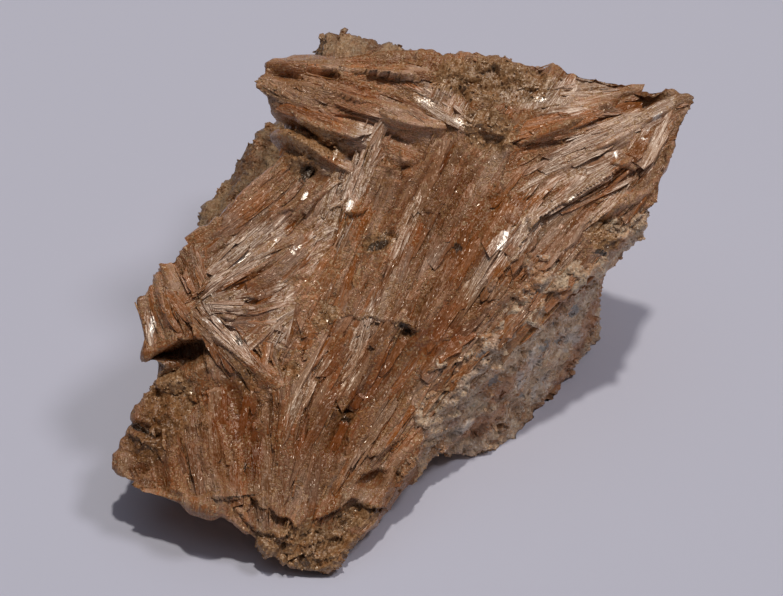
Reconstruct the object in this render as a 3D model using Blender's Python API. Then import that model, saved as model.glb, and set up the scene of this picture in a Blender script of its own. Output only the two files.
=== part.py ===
"""A hand specimen of bustamite: one broken lump of bladed, fibrous crystal with
granular matrix along its right flank and its back.  It leans on the table, so that
its main broken face looks forward and up.  Metres, +Z up, origin under the middle.

The lump is one closed surface: rings of corners run round it, one after another from
the low front end to the back, and the surface between them is stepped into blades
that follow the crystal sheaves."""

import math

import bmesh
import bpy
import numpy as np

MM = 0.001

# The pose of the main broken face on the table.
FACE_LEAN = math.radians(50.0)  # from the face's own normal down to the horizon
FACE_FOOT_HEIGHT = 2.0  # of the face's lowest point above the table, in mm
ORIGIN_AT = (0.63, 36.85)  # the middle of the lump's box on the table, in mm

# Relief of the broken surface, in mm.
BLADE_WIDTH = 4.6
BLADE_LENGTH = 14.0
BLADE_STEP = 2.6
BLADE_SLOPE = 0.68  # share of a blade's width that slopes up before it drops off
BLADE_WANDER = (9.0, 4.0, 4.0)  # run along, across and into the lump over which blades bend
MATRIX_GRAIN = 4.4
MATRIX_BUMP = 0.8
WAVINESS = 0.8
WAVE_LENGTH = 9.0
BACK_FADE = 14.0  # the relief dies out towards the middle of the back
BORDER_RAGGED = 3.0  # how far the border between two sheaves strays
HOLLOW_REACH = 9.0  # below the face to which a hollow can reach

COLOUR = (0.212, 0.111, 0.062, 1.0)
ROUGHNESS = 0.45

# Steps between the rows of corners: along the lump, and around it.
STEPS_ALONG = (3, 6, 4, 5, 6, 5, 6, 6, 4, 4, 5, 3, 4, 3)
STEPS_AROUND = (9, 10, 11, 12, 5, 5, 4, 4, 4, 5, 5, 5)

# Each ring has five corners on the main face, from its left edge to its right one, as
# (across, up the face, out of the face), and then seven corners round the flank, the
# underside and the back, as (x, y, height) over the table.  All in mm.
RINGS = (
    # the low front end
    (((-40.4, 14.7, -2), (-36.8, 11.3, 0.8), (-25, 8.6, 2.4), (-14.7, 0.3, -1), (-10.4, 0, -1)),
     ((-9, 3.5, 0.8), (-8, 7, -1), (-11, 9, -1), (-17, 10, -1),
      (-24, 14, 2), (-33, 16, 6.5), (-38, 14.5, 8.5))),
    (((-37.3, 22.5, -2), (-29.4, 17.2, 0.4), (-22.4, 13.3, 1.2), (-14, 8.1, 0.5), (-4.6, 5.7, -1)),
     ((-3.8, 8.5, 2), (-6, 12, -1), (-10, 14, -1.5), (-16, 16, -1.5),
      (-23, 18, -1), (-30, 20, 4), (-36, 19, 10))),
    # below the notch of the left edge
    (((-34.3, 26.3, -3), (-28, 23.5, -2.5), (-19.3, 20, 0), (-10.5, 15.1, 1), (-0.6, 10.2, -1.5)),
     ((0.6, 11.5, 5.5), (-1, 16, 2), (-6, 19, -0.5), (-14, 22, -1.5),
      (-22, 24, -1), (-27, 24, 4), (-32, 24, 11))),
    (((-35.9, 31.2, -0.5), (-27.3, 28.4, -1), (-17.5, 26.3, 0.5), (-7, 22.5, 1), (3.5, 19, -1)),
     ((4.2, 15.4, 6.2), (4, 20, 2.5), (-2, 25, -0.5), (-12, 28, -1.5),
      (-22, 30, -1), (-27, 29, 5), (-32, 28, 14))),
    # across the left tip
    (((-36.4, 38.4, -1), (-25.9, 35.7, 0.8), (-14, 33.3, 0.5), (-2.1, 30.1, 1), (9.1, 26.7, -1)),
     ((12, 23, 9), (13.7, 22.1, -1), (4, 29, -1), (-10, 34, -1.5),
      (-22, 36, -1), (-27, 36, 6), (-31, 34, 17))),
    (((-31.6, 44.6, -1.5), (-21.7, 42.1, 0.5), (-10.5, 39.9, 0), (2.8, 36.8, 0.8), (15.7, 32.9, -1)),
     ((19, 29, 10), (21.3, 30.6, -1), (9, 37, -1.5), (-8, 40, -1.5),
      (-25, 44, -1), (-31, 47, 14), (-27, 42, 20))),
    (((-24.1, 51.5, -1.5), (-14.7, 49.4, 0), (-3.5, 46.9, 0.5), (9.8, 43.5, 1), (23.2, 39.1, -0.8)),
     ((25.2, 36, 12), (26.6, 38.6, -1), (12, 44, -1.5), (-6, 46, -1.5),
      (-27, 52, -1), (-29.8, 54, 17), (-22, 48, 22))),
    (((-16.2, 57.8, -2), (-7, 56.1, 0), (4.2, 53.9, 0), (18.2, 50.5, 1), (34.3, 48.7, -1)),
     ((29.2, 44, 14), (29.3, 45.7, -1), (13, 50, -1.5), (-4, 52, -1.5),
      (-26, 60, -1), (-26, 59.5, 19), (-17, 53, 25))),
    # the step below the wedge
    (((-15, 62.6, -3), (-8.4, 61, -0.4), (4.2, 62.4, 0.2), (20.3, 57.8, 0.5), (36.7, 53.3, 0)),
     ((31, 47, 20), (29, 50, -1), (13, 54, -1.5), (-3, 57, -1.5),
      (-22, 65, -1), (-21.5, 63.5, 22), (-15, 56, 27))),
    (((-20.6, 68, 0), (-13.5, 63.5, 1.4), (3.5, 65.2, 0.7), (21, 62, 0.5), (38.5, 59.5, 0.5)),
     ((32, 50, 26), (27, 54, -1), (12, 58, -1.5), (-2, 61, -1.5),
      (-17, 69, -1), (-17, 66.5, 26), (-13, 58, 30))),
    # the top edge, ending in the right-hand tip
    (((-18.1, 72.1, -1.5), (-5.6, 72.9, -0.5), (7.7, 73.2, -1), (22, 70.9, -1), (41.9, 66.9, -1.5)),
     ((33, 54, 30), (25, 60, -1), (12, 64, -1), (0, 68, -1),
      (-11, 72, -1), (-11.7, 71.5, 35), (-11, 61, 35))),
)
# The back: a groove behind the top edge, then the wall behind the ledge.
BACK_RINGS = (
    ((-11, 62, 37), (-5, 61, 38.5), (7, 60, 42), (22, 57, 42), (35, 54, 40.5), (31, 56, 27),
     (24, 61, 6), (12, 65.5, 5), (1, 69.5, 5), (-10, 72.5, 6), (-12, 72.5, 33), (-12, 66, 36)),
    ((-10.8, 70.5, 39), (-2, 69.2, 37.5), (7, 66, 36.5), (18, 62.5, 35), (26, 59.8, 32), (25.5, 60.3, 25),
     (20, 62.1, 16), (12, 64.7, 14), (3, 67.7, 14), (-6, 70.7, 16), (-10, 72, 28), (-11, 72, 34)),
)
FRONT_END = (-22, 12.5, 4)
BACK_END = (5, 67.2, 25)

# Crystal sheaves: the middle of each one as (across, up, out) on the leaning face, and
# the point (across, up) from which its blades fan out.
SHEAVES = (
    ((-7, 67.5, 0), (-40, 73)),  # wedge at the top left
    ((28, 58, 0), (47, 70)),  # right-hand tip
    ((5, 47, 0), (-46, -40)),  # middle
    ((-9, 19, 0), (-20, -10)),  # low front
    ((-22, 48, 0), (-43, 28)),  # left edge
    ((-24.5, 34, 0), (-30, 37)),  # star beside the left tip
    ((-34, 38, 0), (-38.5, 56)),  # left tip
    ((-34, 18, 0), (-35, 52)),  # low left
    ((0, 28, -28), (-46, -40)),  # underside
    ((20, 68, -12), (-40, 60)),  # behind the top edge
)
# Granular matrix: the middles of its patches, given in the same way.
MATRIX_PATCHES = (
    (22, 33, -14),
    (9, 18, -12),
    (33, 48, -14),
    (5, 64, -32),
    (-26, 54, -24),
    (-8, 76, -18),
    (16, 69, -1.5),
)
# Hollows of the main face: (across, up, half length, half width, turn in degrees, depth).
HOLLOWS = (
    (-31.5, 29.8, 4.5, 1.8, 22, 4.0),  # notch under the left tip
    (33.3, 65.8, 3.6, 1.3, 5, 1.4),  # pocket beside the right-hand tip
    (35.0, 68.0, 2.4, 1.2, -10, 1.6),  # nick in the top edge
    (-37.5, 20.5, 3.0, 1.0, -25, 1.6),  # crack at the low left
    (-0.5, 28.5, 6.5, 1.8, 60, 1.0),  # sunk glassy blades
    (-8.5, 22.0, 4.5, 1.4, 60, 0.9),
)


def on_table(face_point):
    """A point given as (across, up, out) on the leaning face, as (x, y, height)."""
    across, up, out = face_point
    y = up * math.sin(FACE_LEAN) - out * math.cos(FACE_LEAN)
    height = FACE_FOOT_HEIGHT + up * math.cos(FACE_LEAN) + out * math.sin(FACE_LEAN)
    return (across, y, height)


def corner_grid():
    """Rows of 12 corners from the front end to the back end; the ends are points."""
    rows = [[FRONT_END] * 12]
    for face, rest in RINGS:
        rows.append([on_table(p) for p in face] + list(rest))
    rows.extend(list(ring) for ring in BACK_RINGS)
    rows.append([BACK_END] * 12)
    return np.array(rows, float)


def positions(steps):
    """Corner numbers, with fractions, at which the surface is sampled."""
    return np.concatenate([i + np.arange(n) / n for i, n in enumerate(steps)])


def sampled(corners):
    """The corner grid read at every step: straight lines between the corners."""
    along = np.append(positions(STEPS_ALONG), len(corners) - 1)
    around = positions(STEPS_AROUND)
    i = np.minimum(along.astype(int), len(corners) - 2)
    f = (along - i)[:, None, None]
    rows = corners[i] * (1 - f) + corners[i + 1] * f
    j = around.astype(int)
    g = (around - j)[None, :, None]
    return rows[:, j] * (1 - g) + rows[:, (j + 1) % 12] * g


def grid_mesh(points):
    """Closed mesh of a grid whose first and last rows are each one point."""
    rows, columns = points.shape[:2]
    mesh = bpy.data.meshes.new("bustamite")
    body = bmesh.new()
    front = body.verts.new(points[0, 0])
    rings = [[body.verts.new(p) for p in row] for row in points[1:-1]]
    back = body.verts.new(points[-1, 0])
    for j in range(columns):
        k = (j + 1) % columns
        body.faces.new((front, rings[0][k], rings[0][j]))
        body.faces.new((back, rings[-1][j], rings[-1][k]))
        for lower, upper in zip(rings, rings[1:]):
            body.faces.new((lower[j], lower[k], upper[k], upper[j]))
    bmesh.ops.triangulate(body, faces=body.faces)
    body.to_mesh(mesh)
    body.free()
    return mesh


def hash_of(*cells, seed):
    """Repeatable numbers from 0 to 1, one for each cell number given."""
    mixed = np.zeros(np.shape(cells[0]), np.int64) + seed * 7919
    for prime, cell in zip((73856093, 19349663, 83492791), cells):
        mixed = (mixed ^ (cell.astype(np.int64) * prime)) * 2654435761 % 4294967296
        mixed ^= mixed >> 15
    return (mixed * 2246822519 % 4294967296) / 4294967296


def noise(points, size, seed):
    """Smooth noise from -1 to 1: numbers on a lattice of that size, eased between."""
    scaled = points / size
    cell = np.floor(scaled)
    f = scaled - cell
    f = f * f * (3 - 2 * f)
    total = 0.0
    for corner in np.ndindex(2, 2, 2):
        weight = np.prod(np.where(corner, f, 1 - f), axis=-1)
        total = total + weight * hash_of(*np.moveaxis(cell + corner, -1, 0), seed=seed)
    return total * 2 - 1


def in_face_frame(points):
    """(x, y, height) over the table turned back to (across, up, out) of the face."""
    y, height = points[..., 1], points[..., 2] - FACE_FOOT_HEIGHT
    up = y * math.sin(FACE_LEAN) + height * math.cos(FACE_LEAN)
    out = height * math.sin(FACE_LEAN) - y * math.cos(FACE_LEAN)
    return np.stack((points[..., 0], up, out), -1)


def nearest(points, centres):
    """Number of the nearest centre, with a ragged border between neighbours."""
    stray = np.stack([noise(points, WAVE_LENGTH / 2, seed) for seed in (11, 12, 13)], -1)
    shifted = points + BORDER_RAGGED * stray
    gaps = [np.sum((shifted - np.array(centre)) ** 2 * (1, 1, 0.5), -1) for centre in centres]
    return np.argmin(gaps, 0)


def blades(along, across, deep, seed):
    """Heights from 0 to 1 of blades side by side, each lying on the edge of the next.

    along, across and deep are distances in mm along the fibres, across them, and into
    the lump.  A blade slopes up over most of its width and then drops to the next one;
    how far it stands out changes in straight runs of about its length."""
    wander = noise(np.stack((along, across, deep), -1) / BLADE_WANDER, 1.0, seed)
    position = across / BLADE_WIDTH + 0.3 * wander
    blade = np.floor(position)
    f = position - blade
    slope = np.minimum(f / BLADE_SLOPE, (1 - f) / (1 - BLADE_SLOPE))
    layer = np.floor(deep / (3 * BLADE_WIDTH))
    run = along / BLADE_LENGTH + 5 * hash_of(blade, layer, seed=seed + 1)
    piece = np.floor(run)
    crest = hash_of(blade, layer, piece, seed=seed + 2)
    next_crest = hash_of(blade, layer, piece + 1, seed=seed + 2)
    return slope * (crest + (run - piece) * (next_crest - crest))


def sheaf_relief(place, centre, apex, seed):
    """Relief of blades that fan out from the apex; they get thinner towards it."""
    to_centre = np.subtract(centre[:2], apex)
    reach = np.hypot(*to_centre)
    arm = place[..., :2] - apex
    angle = np.arctan2(arm[..., 1], arm[..., 0]) - math.atan2(to_centre[1], to_centre[0])
    angle = (angle + math.pi) % (2 * math.pi) - math.pi
    along = np.hypot(arm[..., 0], arm[..., 1])
    step = BLADE_STEP * np.clip(along / reach, 0.2, 1)
    return step * (blades(along, angle * reach, place[..., 2], seed) - 0.25)


def hollow(place, across, up, half_length, half_width, turn, depth):
    """Depth of one long hollow of the main face."""
    turn = math.radians(turn)
    dx, dy = place[..., 0] - across, place[..., 1] - up
    lengthways = (dx * math.cos(turn) + dy * math.sin(turn)) / half_length
    sideways = (dy * math.cos(turn) - dx * math.sin(turn)) / half_width
    dip = depth * np.exp(-((lengthways**2 + sideways**2) ** 2))
    return np.where(place[..., 2] > -HOLLOW_REACH, dip, 0)


def relief(points):
    """How far the broken surface stands out of the plain lump at each point, in mm."""
    place = in_face_frame(points)
    height = WAVINESS * (noise(points, WAVE_LENGTH, 21) + 0.4 * noise(points, WAVE_LENGTH / 2, 22))
    zone = nearest(place, [centre for centre, _ in SHEAVES] + list(MATRIX_PATCHES))
    for number, (centre, apex) in enumerate(SHEAVES):
        height += np.where(zone == number, sheaf_relief(place, centre, apex, 31 + number), 0)
    grains = noise(points, MATRIX_GRAIN, 23) + 0.5 * noise(points, MATRIX_GRAIN / 2, 24)
    height += np.where(zone >= len(SHEAVES), MATRIX_BUMP * grains, 0)
    for shape in HOLLOWS:
        height -= hollow(place, *shape)
    to_back = np.linalg.norm(points - np.array(BACK_END), axis=-1)
    return height * np.clip(to_back / BACK_FADE, 0, 1)


def outward(points):
    """Unit normals of the grid, pointing out of the lump."""
    to_next_row = np.gradient(points, axis=0)
    to_next_column = np.roll(points, -1, 1) - np.roll(points, 1, 1)
    normal = np.cross(to_next_column, to_next_row)
    return normal / np.maximum(np.linalg.norm(normal, axis=-1, keepdims=True), 1e-9)


def lump_points():
    """The lump's surface as rows of points, in mm, standing on the table."""
    points = sampled(corner_grid())
    stand_out = relief(points)[..., None] * outward(points)
    stand_out[[0, -1]] = stand_out[[0, -1]].mean(axis=1, keepdims=True)
    points = points + stand_out
    points[..., 2] = np.maximum(points[..., 2], 0.0)
    points[..., :2] -= ORIGIN_AT
    return points


def stone():
    """Salmon-brown crystal with a silky lustre."""
    material = bpy.data.materials.new("bustamite")
    material.use_nodes = True
    shader = material.node_tree.nodes["Principled BSDF"]
    shader.inputs["Base Color"].default_value = COLOUR
    shader.inputs["Roughness"].default_value = ROUGHNESS
    shader.inputs["Metallic"].default_value = 0.0
    return material


def main():
    for old in list(bpy.data.objects):
        bpy.data.objects.remove(old)
    lump = bpy.data.objects.new("bustamite", grid_mesh(lump_points() * MM))
    lump.data.materials.append(stone())
    bpy.context.scene.collection.objects.link(lump)


main()
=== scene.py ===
"""A hand specimen of bustamite: one broken lump of fibrous crystal sheaves on granular
matrix, leaning on a pale table.  Lengths are in mm until a mesh is made, in metres."""

import math
from functools import partial

import bpy
import numpy as np
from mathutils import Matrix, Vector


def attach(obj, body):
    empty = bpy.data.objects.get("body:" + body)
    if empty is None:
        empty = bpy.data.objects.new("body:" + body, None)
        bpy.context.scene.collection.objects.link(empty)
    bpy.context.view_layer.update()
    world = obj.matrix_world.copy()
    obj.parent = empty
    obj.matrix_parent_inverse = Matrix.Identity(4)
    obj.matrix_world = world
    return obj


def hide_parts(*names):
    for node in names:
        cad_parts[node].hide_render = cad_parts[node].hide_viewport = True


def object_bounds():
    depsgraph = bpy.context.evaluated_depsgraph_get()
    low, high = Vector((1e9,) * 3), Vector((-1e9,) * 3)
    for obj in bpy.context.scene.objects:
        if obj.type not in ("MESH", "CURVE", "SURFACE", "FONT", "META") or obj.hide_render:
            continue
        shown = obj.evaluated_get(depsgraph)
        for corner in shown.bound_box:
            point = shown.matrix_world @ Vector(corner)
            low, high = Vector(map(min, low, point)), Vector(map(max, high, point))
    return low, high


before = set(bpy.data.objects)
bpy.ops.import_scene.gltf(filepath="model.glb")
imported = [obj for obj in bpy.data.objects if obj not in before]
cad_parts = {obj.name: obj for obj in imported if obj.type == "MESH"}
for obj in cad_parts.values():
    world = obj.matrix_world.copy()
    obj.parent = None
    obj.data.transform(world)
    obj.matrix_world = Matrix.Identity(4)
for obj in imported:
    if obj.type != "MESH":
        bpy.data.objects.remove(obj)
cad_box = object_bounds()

# --- The lump ------------------------------------------------------------------------
# Bustamite, a manganese and calcium silicate, grown as sheaves of fine blades on granular
# matrix and broken off as one lump.  Its skin is one closed sheet between rings of corners,
# stepped into blades that follow each sheaf and roughened into grains on the matrix.

MM = 0.001
FACE_LEAN = math.radians(50.0)  # from the main face's own normal down to the horizon
FACE_FOOT_HEIGHT = 2.0  # of the main face's lowest point above the table
ORIGIN_AT = (0.63, 36.85)  # the middle of the lump's box on the table

# Each ring has five corners on the main face, from its left edge to its right one, as
# (across, up the face, out of the face), and then seven corners round the flank, the
# underside and the back, as (x, y, height) over the table.
RINGS = (
    # the low front end
    (((-40.4, 14.7, -2), (-36.8, 11.3, 0.8), (-25, 8.6, 2.4), (-14.7, 0.3, -1), (-10.4, 0, -1)),
     ((-9, 3.5, 0.8), (-8, 7, -1), (-11, 9, -1), (-17, 10, -1),
      (-24, 14, 2), (-33, 16, 6.5), (-38, 14.5, 8.5))),
    (((-37.3, 22.5, -2), (-29.4, 17.2, 0.4), (-22.4, 13.3, 1.2), (-14, 8.1, 0.5), (-4.6, 5.7, -1)),
     ((-3.8, 8.5, 2), (-6, 12, -1), (-10, 14, -1.5), (-16, 16, -1.5),
      (-23, 18, -1), (-30, 20, 4), (-36, 19, 10))),
    # below the notch of the left edge
    (((-34.3, 26.3, -3), (-28, 23.5, -2.5), (-19.3, 20, 0), (-10.5, 15.1, 1), (-0.6, 10.2, -1.5)),
     ((0.6, 11.5, 5.5), (-1, 16, 2), (-6, 19, -0.5), (-14, 22, -1.5),
      (-22, 24, -1), (-27, 24, 4), (-32, 24, 11))),
    (((-35.9, 31.2, -0.5), (-27.3, 28.4, -1), (-17.5, 26.3, 0.5), (-7, 22.5, 1), (3.5, 19, -1)),
     ((4.2, 15.4, 6.2), (4, 20, 2.5), (-2, 25, -0.5), (-12, 28, -1.5),
      (-22, 30, -1), (-27, 29, 5), (-32, 28, 14))),
    # across the left tip
    (((-36.4, 38.4, -1), (-25.9, 35.7, 0.8), (-14, 33.3, 0.5), (-2.1, 30.1, 1), (9.1, 26.7, -1)),
     ((12, 23, 9), (13.7, 22.1, -1), (4, 29, -1), (-10, 34, -1.5),
      (-22, 36, -1), (-27, 36, 6), (-31, 34, 17))),
    (((-31.6, 44.6, -1.5), (-21.7, 42.1, 0.5), (-10.5, 39.9, 0), (2.8, 36.8, 0.8), (15.7, 32.9, -1)),
     ((19, 29, 10), (21.3, 30.6, -1), (9, 37, -1.5), (-8, 40, -1.5),
      (-25, 44, -1), (-31, 47, 14), (-27, 42, 20))),
    (((-24.1, 51.5, -1.5), (-14.7, 49.4, 0), (-3.5, 46.9, 0.5), (9.8, 43.5, 1), (23.2, 39.1, -0.8)),
     ((25.2, 36, 12), (26.6, 38.6, -1), (12, 44, -1.5), (-6, 46, -1.5),
      (-27, 52, -1), (-29.8, 54, 17), (-22, 48, 22))),
    (((-16.2, 57.8, -2), (-7, 56.1, 0), (4.2, 53.9, 0), (18.2, 50.5, 1), (34.3, 48.7, -1)),
     ((29.2, 44, 14), (29.3, 45.7, -1), (13, 50, -1.5), (-4, 52, -1.5),
      (-26, 60, -1), (-26, 59.5, 19), (-17, 53, 25))),
    # the step below the wedge
    (((-15, 62.6, -3), (-8.4, 61, -0.4), (4.2, 62.4, 0.2), (20.3, 57.8, 0.5), (36.7, 53.3, 0)),
     ((31, 47, 20), (29, 50, -1), (13, 54, -1.5), (-3, 57, -1.5),
      (-22, 65, -1), (-21.5, 63.5, 22), (-15, 56, 27))),
    (((-20.6, 68, 0), (-13.5, 63.5, 1.4), (3.5, 65.2, 0.7), (21, 62, 0.5), (38.5, 59.5, 0.5)),
     ((32, 50, 26), (27, 54, -1), (12, 58, -1.5), (-2, 61, -1.5),
      (-17, 69, -1), (-17, 66.5, 26), (-13, 58, 30))),
    # the top edge, ending in the right-hand tip
    (((-18.1, 72.1, -1.5), (-5.6, 72.9, -0.5), (7.7, 73.2, -1), (22, 70.9, -1), (41.9, 66.9, -1.5)),
     ((33, 54, 30), (25, 60, -1), (12, 64, -1), (0, 68, -1),
      (-11, 72, -1), (-11.7, 71.5, 35), (-11, 61, 35))),
)
BACK_RINGS = (
    ((-11, 62, 37), (-5, 61, 38.5), (7, 60, 42), (22, 57, 42), (35, 54, 40.5), (31, 56, 27),
     (24, 61, 6), (12, 65.5, 5), (1, 69.5, 5), (-10, 72.5, 6), (-12, 72.5, 33), (-12, 66, 36)),
    ((-10.8, 70.5, 39), (-2, 69.2, 37.5), (7, 66, 36.5), (18, 62.5, 35), (26, 59.8, 32), (25.5, 60.3, 25),
     (20, 62.1, 16), (12, 64.7, 14), (3, 67.7, 14), (-6, 70.7, 16), (-10, 72, 28), (-11, 72, 34)),
)
FRONT_END = (-22, 12.5, 4)
BACK_END = (5, 67.2, 25)

# Crystal sheaves: the middle of each one on the leaning face, and the point (across, up)
# from which its blades fan out.
SHEAVES = (
    ((-7, 67.5, 0), (-40, 73)),  # wedge at the top left
    ((28, 58, 0), (47, 70)),  # right-hand tip
    ((5, 47, 0), (-46, -40)),  # middle
    ((-9, 19, 0), (-20, -10)),  # low front
    ((-22, 48, 0), (-43, 28)),  # left edge
    ((-24.5, 34, 0), (-30, 37)),  # star beside the left tip
    ((-34, 38, 0), (-38.5, 56)),  # left tip
    ((-34, 18, 0), (-35, 52)),  # low left
    ((0, 28, -28), (-46, -40)),  # underside
    ((20, 68, -12), (-40, 60)),  # behind the top edge
)
MIDDLE_SHEAF = 2  # its fibres also run on below the matrix
SHEAF_APART = 40.0  # between the sheaves' lengths across the fibres, so that none is the same
# Granular matrix: the middles of its patches, as (across, up, out).
MATRIX_PATCHES = (
    (22, 33, -14), (9, 18, -12), (33, 48, -14), (5, 64, -32), (-26, 54, -24), (-8, 76, -18),
    (16, 69, -1.5),
)
PLAIN_PATCHES = 6  # the last one is crystal that broke into crumbs
# Hollows of the main face: (across, up, half length, half width, turn in degrees, depth).
HOLLOWS = (
    (-31.5, 29.8, 4.5, 1.8, 22, 4.0),  # notch under the left tip
    (33.5, 66.0, 3.6, 1.3, 5, 2.2),  # pocket beside the right-hand tip
    (35.0, 68.0, 2.4, 1.2, -10, 1.6),  # nick in the top edge
    (-35.6, 19.9, 2.2, 0.8, -25, 1.2),  # crack at the low left
    (-3.0, 27.8, 7.0, 1.7, 57, 1.0),  # sunk glassy blades
    (-8.2, 19.6, 4.2, 1.4, 64, 0.8),
    (0.7, 33.9, 1.3, 0.8, -30, 1.3),
    (-3.9, 13.0, 1.7, 1.1, 20, 0.9),
    (-20.0, 16.9, 3.6, 1.1, 85, 0.8),
    (27.2, 48.6, 1.2, 0.8, 30, 1.4),  # rusty pit of the right-hand sheaf
    (-7.0, 58.2, 1.2, 0.4, 20, 0.8),
    (-20.6, 37.9, 1.8, 0.5, -12, 0.8),
    (-13.0, 56.2, 1.2, 0.9, 0, 0.8),
    (-8.0, 61.4, 4.5, 1.7, -22, -1.1),  # raised: the wedge's lower edge runs out here
    (-1.0, 62.6, 4.5, 1.4, -8, -0.8),
    (-38.6, 12.4, 1.8, 1.6, -40, -1.0),  # raised: the rounded low left corner
    (-39.6, 16.6, 3.6, 1.8, 100, -0.9),
    (-27.4, 9.4, 2.6, 1.8, -15, -1.6),  # raised: the edge runs straight on here
    (-12.5, 60.4, 5.0, 1.9, -18, -1.6),  # raised: crumbs that fill the step below the wedge
    (-12.3, 58.2, 4.5, 2.2, -25, -1.2),
    (-12.0, 62.9, 4.0, 0.9, -20, 0.6),
    (8.3, 73.6, 1.4, 1.2, 0, 0.8),
)
# Scarps, where the upper layer of a sheaf broke off: how far its broken edge stands over
# what lies below, how far back from the edge the layer rises, and the edge's points as
# (across, up).  The high side is on the left of one who walks from the first to the last.
SCARPS = (
    # right-hand sheaf
    (1.3, 1.9, (12.6, 39.6), (16.5, 44.9), (19.0, 49.2), (23.0, 51.5), (26.5, 53.8), (30.8, 56.7)),
    (0.5, 2.0, (16.9, 60.0), (21.0, 60.4), (25.7, 61.8)),
    (0.4, 1.6, (12.3, 52.8), (15.1, 53.9)),
    (1.0, 2.0, (36.1, 65.6), (32.4, 64.7), (29.7, 65.5)),
    (0.8, 2.0, (30.2, 57.1), (32.4, 56.1), (34.2, 56.7), (36.1, 58.6)),
    (0.4, 1.2, (30.8, 51.6), (32.0, 52.7), (33.0, 54.7)),
    (0.5, 1.5, (29.1, 45.9), (31.2, 47.6), (33.4, 49.6), (35.6, 51.6)),
    # wedge
    (0.8, 1.5, (-16.3, 70.0), (-15.1, 69.7), (-13.5, 68.9), (-10.8, 67.9)),
    (0.7, 1.5, (-10.2, 70.4), (-7.3, 68.7), (-4.5, 68.1)),
    (0.7, 1.5, (-10.6, 67.8), (-8.3, 66.8), (-6.1, 65.6), (-5.3, 65.4)),
    (0.6, 1.5, (-4.1, 69.7), (-1.4, 68.9), (3.0, 68.0)),
    (0.4, 1.2, (-4.1, 67.0), (-1.0, 66.8)),
    # middle
    (0.8, 3.0, (-8.8, 51.1), (-6.9, 50.0), (-5.1, 50.6)),
    (0.5, 2.0, (2.9, 51.0), (4.6, 50.5), (6.3, 51.2)),
    (0.7, 2.5, (-12.3, 32.6), (-9.8, 35.1), (-6.7, 35.8), (-2.8, 35.4), (1.4, 34.3)),
    (0.8, 2.0, (4.1, 28.0), (6.3, 28.6), (7.1, 28.9), (9.7, 30.7)),
    # left edge and the star beside it
    (0.8, 1.6, (-24.2, 46.1), (-21.7, 47.3), (-17.3, 49.7), (-15.1, 50.7)),
    (0.5, 1.5, (-18.5, 44.5), (-15.7, 45.9), (-14.1, 46.5)),
    (0.5, 1.5, (-26.7, 37.7), (-24.2, 37.9), (-22.4, 39.5), (-19.0, 42.9)),
    (0.8, 1.5, (-24.1, 35.7), (-21.7, 36.1), (-21.3, 36.7)),
    (0.6, 1.2, (-32.1, 35.7), (-32.5, 37.9), (-33.3, 39.5)),
    (0.8, 1.5, (-29.8, 35.7), (-28.9, 34.3), (-27.8, 31.4), (-27.1, 29.0)),
    (1.4, 2.5, (-35.1, 29.7), (-33.2, 31.3), (-29.8, 33.1), (-28.7, 32.9)),
    # low left
    (1.0, 2.0, (-36.9, 20.4), (-35.4, 19.3), (-34.2, 19.6)),
    (0.8, 1.6, (-37.7, 18.9), (-36.1, 18.2), (-34.5, 17.4)),
    (0.7, 2.0, (-29.5, 20.1), (-28.1, 20.3), (-26.6, 19.8)),
    (0.6, 2.0, (-26.3, 18.5), (-26.5, 21.2), (-28.4, 24.6)),
    # low front
    (0.8, 1.8, (-3.9, 20.0), (-5.7, 18.6), (-8.2, 15.5), (-10.5, 12.9)),
    (0.9, 1.6, (-5.3, 15.9), (-3.4, 16.2), (-1.1, 17.5), (0.4, 18.8)),
    (0.6, 1.2, (-5.3, 13.9), (-2.7, 14.4), (-2.0, 14.3)),
    (1.4, 3.0, (-25.2, 10.3), (-22.0, 10.9), (-20.2, 10.4), (-19.6, 8.7), (-18.1, 9.0), (-14.8, 6.7)),
    (1.3, 3.0, (-12.3, 7.2), (-9.1, 9.0), (-7.5, 10.1), (-5.9, 10.1), (-4.3, 9.0), (-2.7, 8.8)),
    (1.0, 2.0, (-22.5, 8.3), (-20.4, 6.4), (-18.3, 5.6), (-16.8, 4.8)),
    (0.8, 1.5, (-16.5, 5.3), (-14.0, 5.6), (-11.7, 5.8)),
    (0.8, 1.3, (-16.0, 4.2), (-14.0, 3.7), (-11.7, 4.3)),
    (0.7, 1.2, (-15.5, 2.7), (-13.5, 2.5), (-12.3, 1.9), (-9.8, 2.2)),
    (0.5, 1.2, (-3.8, 7.0), (-7.4, 4.6)),
)

WAVES = ((9.0, 0.8), (4.5, 0.32))  # broad waves of the whole skin: (length, height)
BACK_FADE = 14.0  # the relief dies out towards the middle of the back,
BACK_RELIEF = 0.25  # where this share of it is left
BORDER_RAGGED = 3.0  # how far the border between two sheaves strays
BORDER_WIDTH = 4.0  # over which the big bundles die out towards it
OUT_COUNTS = 0.5  # weight of a distance out of the face against one on it
HOLLOW_REACH = 9.0  # below the face to which a hollow can reach

# Blades of three sizes: (width, length, height), and the levels at which the two smaller
# ones snapped off.  They are sunk by a share of their height, so that the face stays where
# its corners are.
BUNDLE = (4.6, 14.0, 2.6)
BLADE = (1.5, 8.0, 0.55)
SPLINTER = (0.62, 3.6, 0.24)
BLADE_SNAP, SPLINTER_SNAP = 0.32, 0.14
BUNDLE_SUNK, BLADE_SUNK = 0.25, 0.3
THINNEST_BUNDLE = 0.2  # share of a bundle's height that is left near the apex of its fan
BLADE_SLOPE = 0.68  # share of a blade's width that slopes up before it drops off
BLADE_WANDER = (9.0, 4.0, 4.0)  # run along, across and into the lump over which blades bend,
BLADE_BEND = 0.3  # by this share of their width
BLADE_LAYER = 3.0  # widths into the lump, after which other blades follow
CREST_SPREAD, SNAP_SPREAD = 5, 7  # lengths over which neighbours' crests and ends are spread
SNAP_RAGGED = 0.12  # share of a blade's length by which its broken end is ragged
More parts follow.
